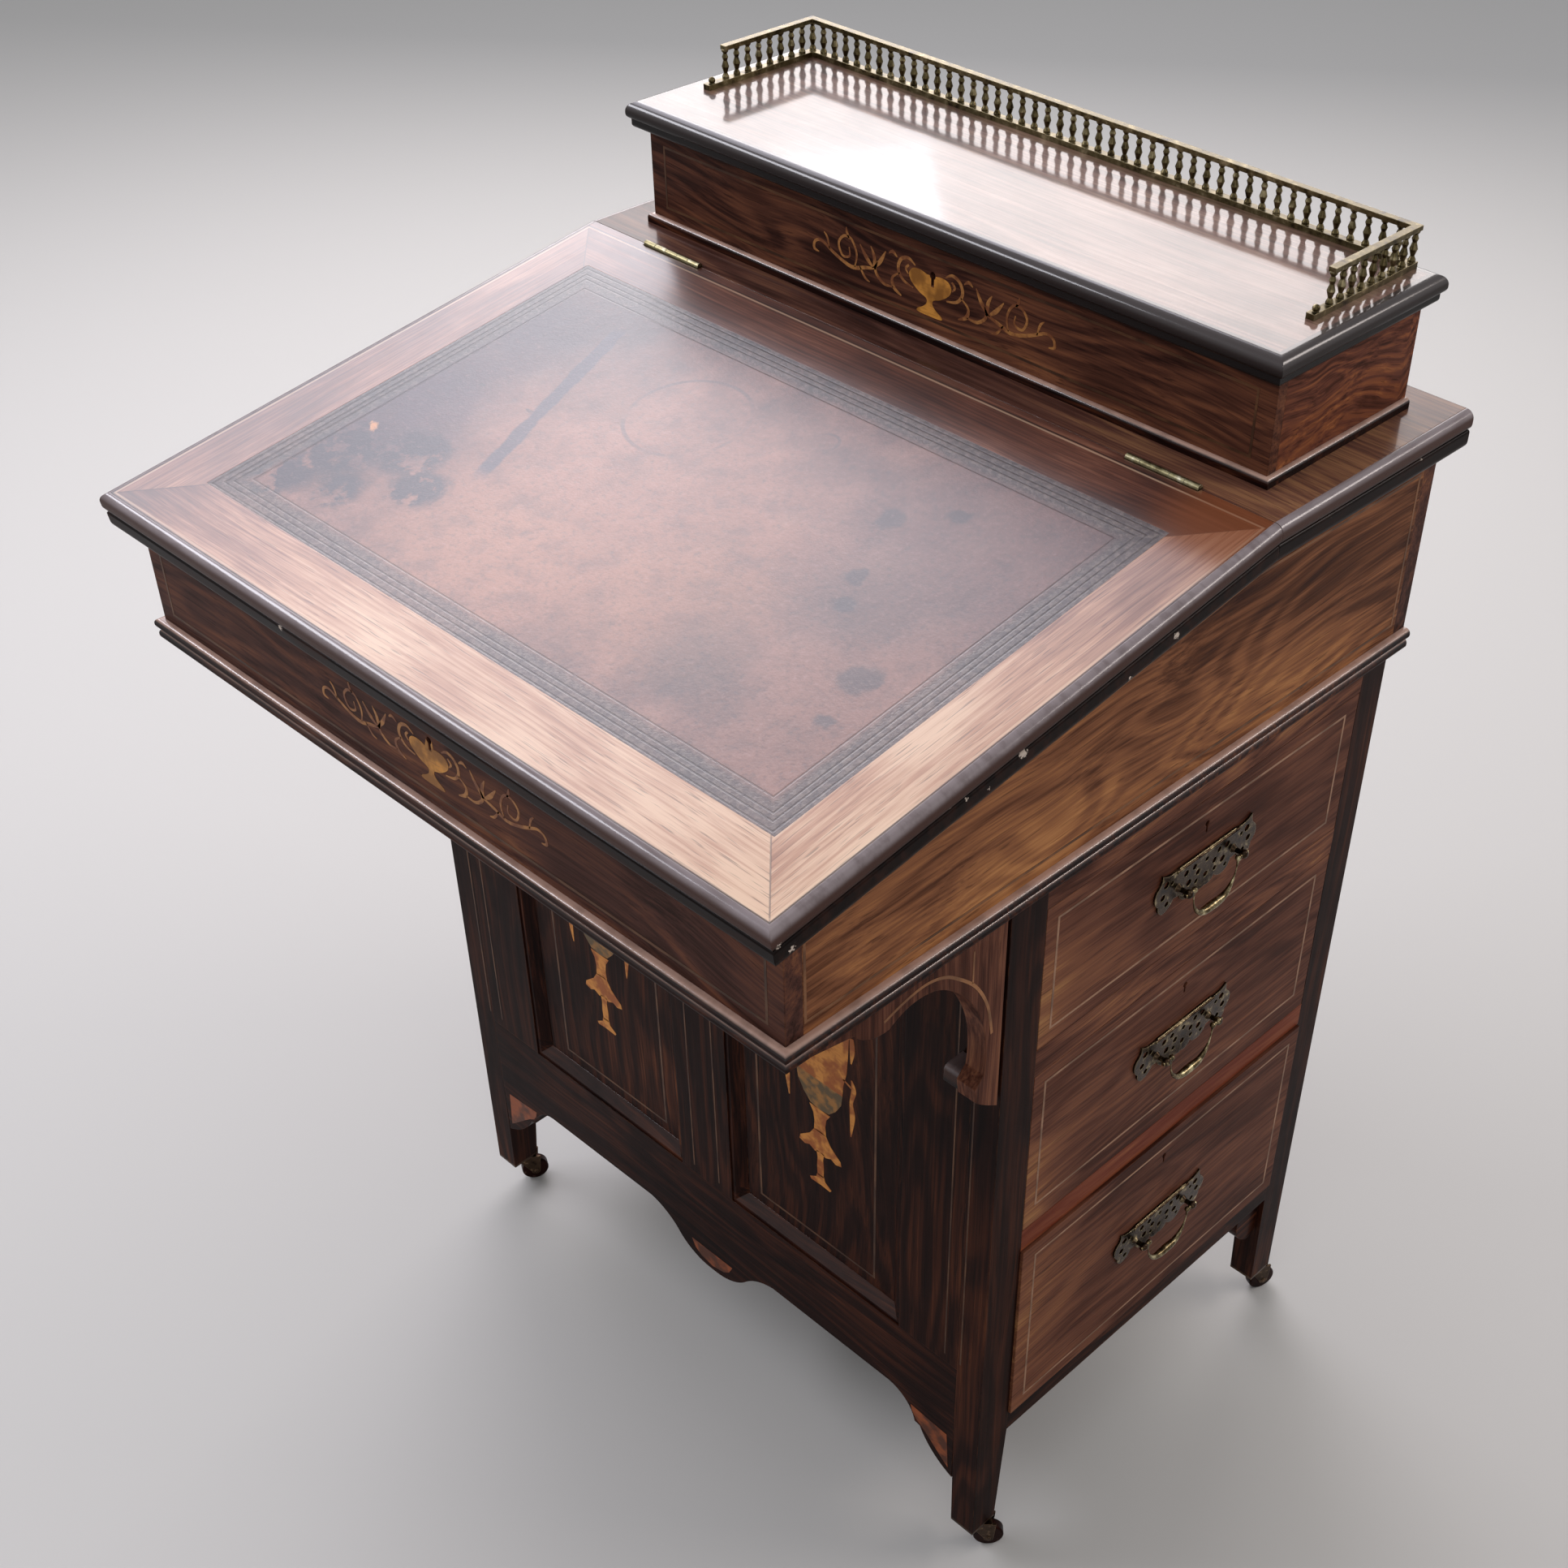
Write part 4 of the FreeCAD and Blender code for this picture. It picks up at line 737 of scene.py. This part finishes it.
# every node of the frame takes its finish
drawers, casters = "123", ("fr", "fl", "br", "bl")
finishes = {
    "postRosewood": ["legs_front", "legs_back"],
    "frontFrameRosewood": ["front_frame"],
    "apronRosewood": ["front_apron"],
    "panelVeneer": ["front_panels"],
    "panelMouldRosewood": ["panel_mouldings"],
    "sideRailRosewood": ["side_rails"],
    "earRosewood": ["bottom_board", "foot_ears"],
    "bracketVeneer": ["side_brackets"],
    "drawerVeneer": ["left_false_fronts", *("drawer_" + n + "_front" for n in drawers)],
    "slopeFrontVeneer": ["slope_front", "slope_back"],
    "slopeSideVeneer": ["slope_sides"],
    "beadRosewood": ["slope_bead", "stationery_bead"],
    "railVeneer": ["top_rail"],
    "stationeryFrontVeneer": ["stationery_front"],
    "stationeryWallVeneer": ["stationery_walls"],
    "flapBanding": ["flap_board"],
    "lidVeneer": ["lid_board"],
    "ebonisedFlapMoulding": ["flap_moulding"],
    "ebonisedRailMoulding": ["rail_mouldings"],
    "ebonisedBlock": ["ledge_blocks"],
    "yellowPine": ["left_side_panel", "drawer_runners", "slope_bottom"],
    "backboardPine": ["back_panel"],
    "mahoganyLining": ["drawer_" + n + "_box" for n in drawers],
    "tooledSkiver": ["flap_leather"],
    "hingeBrass": ["locks", "hinge_leaves_fixed", "flap_hinge_leaves", "lid_hinge_leaves"],
    "galleryBrass": ["lid_gallery"],
    "patinatedBrass": ["left_backplates", *("drawer_" + n + "_backplate" for n in drawers)],
    "handledBrass": ["bail_" + side + "_" + n for side in ("right", "left") for n in drawers],
    "casterBrass": ["caster_plates", *("caster_fork_" + foot for foot in casters)],
    "casterTread": ["caster_wheel_" + foot for foot in casters],
}
finishOf = {name: finish for finish, names in finishes.items() for name in names}
for name, node in nodes.items():
    for slot in node.material_slots:
        slot.link = "OBJECT"
        slot.material = materials[finishOf[name]]
print("stage: frame dressed")


inlayProud, inlayDeep = 0.12, 0.05       # mm above the veneer, as old glue lifts it, and mm let into it


def onFace(face, u, v, height):
    # a point of a flat face: u along it, v up it, height out of it
    axis, level, out = face
    level += out * height
    return Vector((u, level, v) if axis == "y" else (level, u, v)) * mm


def smoothLine(points, steps, closed=False):
    # Catmull-Rom curve through given points, of any number of values each
    count, line = len(points), []
    for i in range(count if closed else count - 1):
        p = [points[(i + k) % count if closed else min(max(i + k, 0), count - 1)] for k in (-1, 0, 1, 2)]
        for j in range(steps):
            t = j / steps
            line.append(tuple(0.5 * (2 * b + (c - a) * t + (2 * a - 5 * b + 4 * c - d) * t * t
                                     + (3 * b - a - 3 * c + d) * t ** 3) for a, b, c, d in zip(*p)))
    if not closed:
        line.append(tuple(points[-1]))
    return line


def raised(mesh, outline, face):
    # a flat piece of veneer standing proud of its face, with its edges closed
    top = [mesh.verts.new(onFace(face, u, v, inlayProud)) for u, v in outline]
    low = [mesh.verts.new(onFace(face, u, v, -inlayDeep)) for u, v in outline]
    mesh.faces.new(top)
    for i in range(len(outline)):
        j = (i + 1) % len(outline)
        mesh.faces.new((top[j], top[i], low[i], low[j]))


def stroke(points, steps=6):
    # outline of a curved line, from points (u, v, width)
    line = smoothLine(points, steps)
    left, right = [], []
    for i, (u, v, w) in enumerate(line):
        before, after = line[max(i - 1, 0)], line[min(i + 1, len(line) - 1)]
        du, dv = after[0] - before[0], after[1] - before[1]
        step = math.hypot(du, dv) or 1
        nu, nv = -dv / step * w / 2, du / step * w / 2
        left.append((u + nu, v + nv))
        right.append((u - nu, v - nv))
    return left + right[::-1]


def stringRun(points, width):
    # quads of a closed, straight-sided string with mitred corners
    count = len(points)
    sides = []
    for i in range(count):
        before, here, after = (Vector(points[k % count]) for k in (i - 1, i, i + 1))
        a, b = (here - before).normalized(), (after - here).normalized()
        normal = Vector((-(a.y + b.y), a.x + b.x)).normalized()
        reach = width / 2 / normal.dot(Vector((-a.y, a.x)))
        sides.append((tuple(here + normal * reach), tuple(here - normal * reach)))
    return [[a[0], b[0], b[1], a[1]] for a, b in zip(sides, sides[1:] + sides[:1])]


def newPiece(name, mesh, material):
    data = bpy.data.meshes.new(name)
    mesh.to_mesh(data)
    mesh.free()
    data.materials.append(material)
    piece = bpy.data.objects.new(name, data)
    bpy.context.scene.collection.objects.link(piece)
    return piece


def veneerPiece(name, face, outlines, wood, body="carcass"):
    mesh = bmesh.new()
    for outline in outlines:
        raised(mesh, outline, faces[face])
    bmesh.ops.recalc_face_normals(mesh, faces=mesh.faces)
    piece = newPiece(name, mesh, inlays[wood])
    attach(piece, body)


def boxRun(u0, u1, v0, v1, width):
    return stringRun([(u0, v0), (u1, v0), (u1, v1), (u0, v1)], width)


# flat faces: the axis they look along, where they are on it in mm, and which way they look
faces = {
    "slopeFront": ("y", slopeFrontLow.y, -1),
    "stationeryFront": ("y", statLow.y, -1),
    "slopeRight": ("x", slopeSideHigh.x, 1),
    "slopeLeft": ("x", slopeSideLow.x, -1),
    "boxRight": ("x", statWallHigh.x, 1),
    "boxLeft": ("x", statWallLow.x, -1),
    "frontFrame": ("y", frameLow.y, -1),
    "panel": ("y", panelLow.y, -1),
    "apron": ("y", apronLow.y, -1),
    "bracketRight": ("x", bracketHigh.x, 1),
    "bracketLeft": ("x", bracketLow.x, -1),
    "pedestalLeft": ("x", legLow.x, -1),
}

# strings, all in mm in from the edges of their own face
slopeString = {"side": 12.5, "low": 23.5, "high": 9, "front": 13.5, "back": 4, "width": 1.8}
boxString = {"side": 12.5, "low": 12.7, "high": 10.1, "width": 1.6}
flapThick = 24       # mm, with the moulding, square to the flap


def slopeTop(y):
    # the top line of the slope's strings at this y, under the flap
    rise = (kinkY - y) * math.tan(flapAngle) if y < kinkY else 0
    return topZ - flapThick / math.cos(flapAngle) - rise - slopeString["high"]


floorZ = slopeFrontLow.z
stringLow = floorZ + slopeString["low"]
veneerPiece("slope_front_string", "slopeFront",
            boxRun(slopeFrontLow.x + slopeString["side"], slopeFrontHigh.x - slopeString["side"], stringLow,
                   slopeTop(slopeFrontLow.y), slopeString["width"]), "dimString")
front, back = slopeFrontLow.y + slopeString["front"], slopeSideHigh.y - slopeString["back"]
path = [(front, stringLow), (back, stringLow), (back, slopeTop(back)), (kinkY, slopeTop(kinkY)),
        (front, slopeTop(front))]
for side in ("slopeRight", "slopeLeft"):
    veneerPiece("string_" + side, side, stringRun(path, slopeString["width"]), "darkString")
veneerPiece("stationery_front_string", "stationeryFront",
            boxRun(statLow.x + boxString["side"], statHigh.x - boxString["side"], topZ + boxString["low"],
                   statHigh.z - boxString["high"], boxString["width"]), "dimString")
print("stage: box strings laid")


# the scrolled spray with its urn, drawn for the right half: u out from the middle, v down
spray = {
    "middle": -2,
    "urn": [(0, 22.5), (7.5, 20.8), (14, 21.6), (17, 25.5), (15, 30), (8.5, 34.5), (3, 36.5),
            (2.4, 39.5), (5.5, 42.5), (9.4, 44.6), (9.6, 46.6), (0, 47)],
    "strokes": [
        [(12, 19.6, 0.8), (17.6, 16.8, 2), (23.6, 19.2, 2.3), (25.8, 25.6, 2.3), (21.5, 31.5, 1.9),
         (13.4, 33.6, 0.9)],
        [(17.2, 20.8, 1.4), (19.6, 23.6, 1.7), (17.6, 26.4, 0.8)],
        [(24.5, 28, 0.8), (30.5, 32.6, 1.8), (29.2, 38.4, 2.6), (23, 41.6, 0.9)],
        [(30, 38.4, 0.9), (37.8, 38.6, 1.9), (44.4, 33.4, 2.1), (43.2, 26.6, 1)],
        [(46, 31.6, 1.2), (40.6, 25.8, 2.8), (36.2, 18.4, 0.7)],
        [(46, 31.6, 1.2), (45.6, 24.8, 2.6), (48.6, 19, 0.7)],
        [(46.4, 31.6, 1.2), (52.2, 27, 2.9), (57.6, 20.4, 0.7)],
        [(44, 31.4, 1.2), (53, 33.6, 2.2), (63.6, 36.6, 2.4), (74, 34.6, 2.2), (83, 31, 2),
         (90.4, 28, 1.8), (95.8, 29.8, 1.8), (96.8, 34.4, 2), (92.6, 35.6, 0.8)],
        [(62, 36, 0.9), (60.4, 27.6, 1.6), (64.6, 19.8, 1.7), (71.2, 19.4, 1.7), (75.6, 25, 1.7),
         (72.4, 31.8, 1.6), (66.4, 30.4, 1.4), (66.8, 25, 0.8)],
        [(66.6, 20.2, 0.9), (68.6, 16.4, 2), (69.2, 13.4, 0.6)],
        [(83.4, 31.2, 0.8), (85.4, 24.6, 1.7), (88.2, 21.8, 0.6)],
        [(26.8, 19, 0.7), (30.4, 16.8, 2.2), (33.6, 18.6, 0.7)],
        [(58, 34, 0.8), (53.4, 39.8, 1.8), (49.4, 41.4, 0.6)],
    ],
}
# the urn is let in round the keyhole: the cut, u from the middle of the key and v down from its round hole
keyCut = [(-2.5, 0.4), (-2.1, 1.3), (-1.2, 2.2), (-1.2, 7), (1.2, 7), (1.2, 2.2), (2.1, 1.3), (2.5, -0.2)]
keyClear = {"aside": 2.6, "below": 7.5}     # mm of the urn's outline that the cut takes away


def layScrolls(name, face, zeroZ, keyZ):
    lines = [stroke([(spray["middle"] + side * u, zeroZ - v, wide) for u, v, wide in path])
             for side in (1, -1) for path in spray["strokes"]]
    half = spray["urn"]
    whole = half + [(-u, v) for u, v in half[-2:0:-1]]
    curve = [(spray["middle"] + u, zeroZ - v) for u, v in smoothLine(whole, 3, True)]
    outline = [p for p in curve if abs(p[0]) > keyClear["aside"] or p[1] < keyZ - keyClear["below"]]
    outline += [(u, keyZ - v) for u, v in keyCut]
    veneerPiece(name + "_scrolls", face, lines, "sprayInlay")
    veneerPiece(name + "_urn", face, [outline], "urnInlay")


layScrolls("slope_marquetry", "slopeFront", floorZ + 77, topZ - 97.5)
layScrolls("stationery_marquetry", "stationeryFront", statHigh.z, statHigh.z - 21.5)


# the tall urns of the knee panels: half outlines, u out from the middle, v down from z 600
panelUrn = {
    "zero": 600,
    "middle": 109.5,
    "string": {"u0": 50, "u1": 160, "low": 215, "high": 24, "width": 1.8},
    "shapes": {
        "tip": [(0, 322), (3.2, 322), (4.2, 326), (10.2, 330), (9, 332), (0, 331.4)],
        "stem": [(0, 300), (3.6, 300), (2.6, 306), (3.2, 314), (2.8, 323), (0, 323)],
        "knop": [(0, 280.4), (5.4, 281), (9.6, 288), (18.8, 296), (19.6, 300), (14.4, 301.6), (10, 299.4),
                 (5, 302), (0, 300)],
        "neck": [(0, 260), (9.6, 260), (6, 266), (5, 273), (5.6, 281.4), (0, 281.4)],
        "cup": [(0, 234), (21, 234), (19.6, 243), (14.6, 252), (8.6, 258.6), (0, 260.2)],
        "bowl": [(0, 181), (26.6, 181), (25.8, 197), (24.6, 212), (21.6, 224), (20.8, 234), (0, 234)],
        "rim": [(0, 172), (30.4, 172), (29, 177), (26.4, 181), (0, 181)],
        "cover": [(0, 140), (5, 141), (9.4, 149), (18, 158), (25, 166), (27, 172), (0, 172)],
        "finial": [(0, 118), (3.6, 121), (4.8, 127), (2.4, 133), (4.6, 140.4), (0, 140.4)],
    },
    "strokes": [
        [(29, 178, 3.4), (29.6, 188, 4.4), (28.6, 200, 1)],
        [(29, 214, 1.2), (31, 222, 4.2), (28.8, 234, 3), (29.8, 246, 4.6), (28.4, 265, 0.8)],
        [(21.6, 218, 1.4), (28.8, 221, 1.8)],
        [(30.6, 172, 2.2), (37, 160, 3), (36.4, 145, 2.6), (28, 138, 2.2), (23.4, 144, 1)],
        [(24.6, 164, 1), (22, 150, 2.6), (30, 128, 2.8), (27, 112, 2.4), (19, 108, 2),
         (16.6, 114, 0.8)],
        [(28.6, 122, 1), (36.8, 112, 3.4), (38, 98, 0.8)],
        [(3, 120, 1), (9.8, 106, 3.2), (8, 90, 2.8), (0, 78, 1.2)],
        [(8.6, 98, 0.8), (16, 88, 3), (15, 76, 0.8)],
    ],
    "shaded": ["cup"],
}


def layPanelUrns():
    look = panelUrn
    run = look["string"]
    for side, label in ((1, "right"), (-1, "left")):
        middle = side * look["middle"]
        plain, dark = [], []
        for name, half in look["shapes"].items():
            whole = half + [(-u, v) for u, v in half[::-1] if u > 0]
            shape = [(middle + u, look["zero"] - v) for u, v in whole]
            (dark if name in look["shaded"] else plain).append(shape)
        for turn in (1, -1):
            for path in look["strokes"]:
                plain.append(stroke([(middle + turn * u, look["zero"] - v, wide) for u, v, wide in path]))
        veneerPiece("panel_urn_" + label, "panel", plain, "satinwoodInlay")
        veneerPiece("panel_urn_shade_" + label, "panel", dark, "scorchedInlay")
        ends = sorted((side * run["u0"], side * run["u1"]))
        veneerPiece("panel_string_" + label, "panel",
                    boxRun(*ends, run["low"], panelHigh.z - run["high"], run["width"]), "dimString")


layPanelUrns()


# satinwood corners let into the apron, mm in x and z
apronWedges = {
    "foot": [(203, 122), (237, 119), (239.4, 84), (234, 88.6), (225, 97), (214, 107), (208, 111), (204.6, 116)],
    "pendant": [(-22, 118), (22, 118), (18, 110), (12, 105.6), (0, 103), (-12, 105.6), (-18, 110)],
}
foot = apronWedges["foot"]
veneerPiece("apron_wedges", "apron", [foot, [(-u, v) for u, v in foot], apronWedges["pendant"]],
            "cornerInlay")

# strings down the stiles, the muntin and the posts
frameStrings = {"lines": [232, 246, 13], "low": 203, "high": frameHigh.z - 8, "half": 0.6}
outlines = []
for line in frameStrings["lines"]:
    for u in (line, -line):
        u0, u1 = u - frameStrings["half"], u + frameStrings["half"]
        low, high = frameStrings["low"], frameStrings["high"]
        outlines.append([(u0, low), (u0, high), (u1, high), (u1, low)])
veneerPiece("frame_strings", "frontFrame", outlines, "dimString")

# strings of the brackets follow their curve, 7 mm in from its edge, with a short upright at its top
bracketStrings = {
    "curve": [(-190, 587), (-176, 591.2), (-160, 593.2), (-146, 589.8), (-134.8, 582.2),
              (-119, 566.4), (-108.2, 545.6), (-103.4, 522)],
    "curveWidth": 2,
    "upright": [(-121.5, 593), (-121.5, 570.5)],
    "uprightWidth": 1.2,
}
pieces = [stroke([(u, v, bracketStrings[part + "Width"]) for u, v in bracketStrings[part]], steps)
          for part, steps in (("curve", 6), ("upright", 1))]
for side in ("bracketRight", "bracketLeft"):
    veneerPiece("string_" + side, side, pieces, "bracketString")

# drawer strings, on the drawers and on the false fronts: from and to along y, from and to up z
drawerStringWidth = 1.7
drawerStrings = {"1": (-51, 222, 491.5, 574.5), "2": (-51, 221.5, 342, 448), "3": (-49, 224, 152, 294.5)}
for number, ends in drawerStrings.items():
    faces["drawer" + number] = ("x", corners("drawer_" + number + "_front")[1].x, 1)
    run = boxRun(*ends, drawerStringWidth)
    veneerPiece("drawer_string_" + number, "drawer" + number, run, "boxwoodString", "drawer_" + number)
    veneerPiece("false_drawer_string_" + number, "pedestalLeft", run, "boxwoodString")
print("stage: marquetry laid")


# floor of matt grey paper, size in metres
floorLook = {"colour": "#c6c4c1", "size": 9, "roughness": 0.85}
material, _, shader = newMaterial("floorPaint")
dress(shader, {"Base Color": linear(floorLook["colour"]), "Roughness": floorLook["roughness"]}, {})
mesh = bmesh.new()
half = floorLook["size"] / 2
square = [(-half, -half, 0), (half, -half, 0), (half, half, 0), (-half, half, 0)]
mesh.faces.new([mesh.verts.new(corner) for corner in square])
newPiece("floor", mesh, material)

# softboxes: direction from the desk, distance and size in metres, and how bright each face is
lamps = {
    "lowWindow": {"towards": (-0.60, 0.70, 0.33), "distance": 2.5, "size": (2.3, 0.95), "radiance": 4,
                  "colour": "#fff8f6"},
    "highWindow": {"towards": (-0.73, 0.36, 0.64), "distance": 2.5, "size": (2, 1.3), "radiance": 3.2,
                   "colour": "#f4f2ff"},
    "overhead": {"towards": (0.1, -0.15, 1), "distance": 2.4, "size": (1.8, 1.8), "radiance": 0.6,
                 "colour": "#ffffff"},
    "frontFill": {"towards": (0.85, -0.6, 0.25), "distance": 3, "size": (2, 1.6), "radiance": 0.7,
                  "colour": "#fff9f2"},
    "leftSky": {"towards": (-0.70, -0.42, 0.56), "distance": 2.5, "size": (1.5, 0.45), "radiance": 12,
                "colour": "#f6f6ff"},
    "rightSky": {"towards": (0.62, 0.61, 0.46), "distance": 2.5, "size": (1.2, 0.4), "radiance": 9,
                 "colour": "#fff4ee"},
}
aim = Vector((0, 0, 0.7))
for name, look in lamps.items():
    data = bpy.data.lights.new(name, "AREA")
    data.shape = "RECTANGLE"
    data.size, data.size_y = look["size"]
    data.energy = look["radiance"] * math.pi * data.size * data.size_y
    data.color = linear(look["colour"])[:3]
    lamp = bpy.data.objects.new(name, data)
    direction = Vector(look["towards"]).normalized()
    lamp.location = aim + direction * look["distance"]
    lamp.rotation_euler = direction.to_track_quat("Z", "Y").to_euler()
    bpy.context.scene.collection.objects.link(lamp)

world = bpy.data.worlds.new("room")
world.use_nodes = True
backdrop = world.node_tree.nodes["Background"]
backdrop.inputs["Color"].default_value = linear("#f2f4f8")
backdrop.inputs["Strength"].default_value = 0.5
bpy.context.scene.world = world
bpy.context.scene.view_settings.view_transform = "Standard"

# camera, metres and degrees: where it stands, how it is turned, and the shift that frames the desk
view = {"place": (0.8190, -0.7754, 1.3322), "azimuth": 42.27, "elevation": 41.63, "roll": 1.56, "lens": 49.38,
        "shiftX": -0.0846, "shiftY": 0.1256}
azimuth, elevation, roll = (math.radians(view[k]) for k in ("azimuth", "elevation", "roll"))
back = Vector((math.sin(azimuth) * math.cos(elevation), -math.cos(azimuth) * math.cos(elevation),
               math.sin(elevation)))
level = Vector((math.cos(azimuth), math.sin(azimuth), 0))
upright = back.cross(level)
right = math.cos(roll) * level + math.sin(roll) * upright
up = math.cos(roll) * upright - math.sin(roll) * level
data = bpy.data.cameras.new("camera")
data.lens = view["lens"]
data.sensor_width = 36
data.shift_x, data.shift_y = view["shiftX"], view["shiftY"]
camera = bpy.data.objects.new("camera", data)
camera.matrix_world = Matrix.Translation(view["place"]) @ Matrix((right, up, back)).transposed().to_4x4()
bpy.context.scene.collection.objects.link(camera)
bpy.context.scene.camera = camera
print("stage: light and camera set")
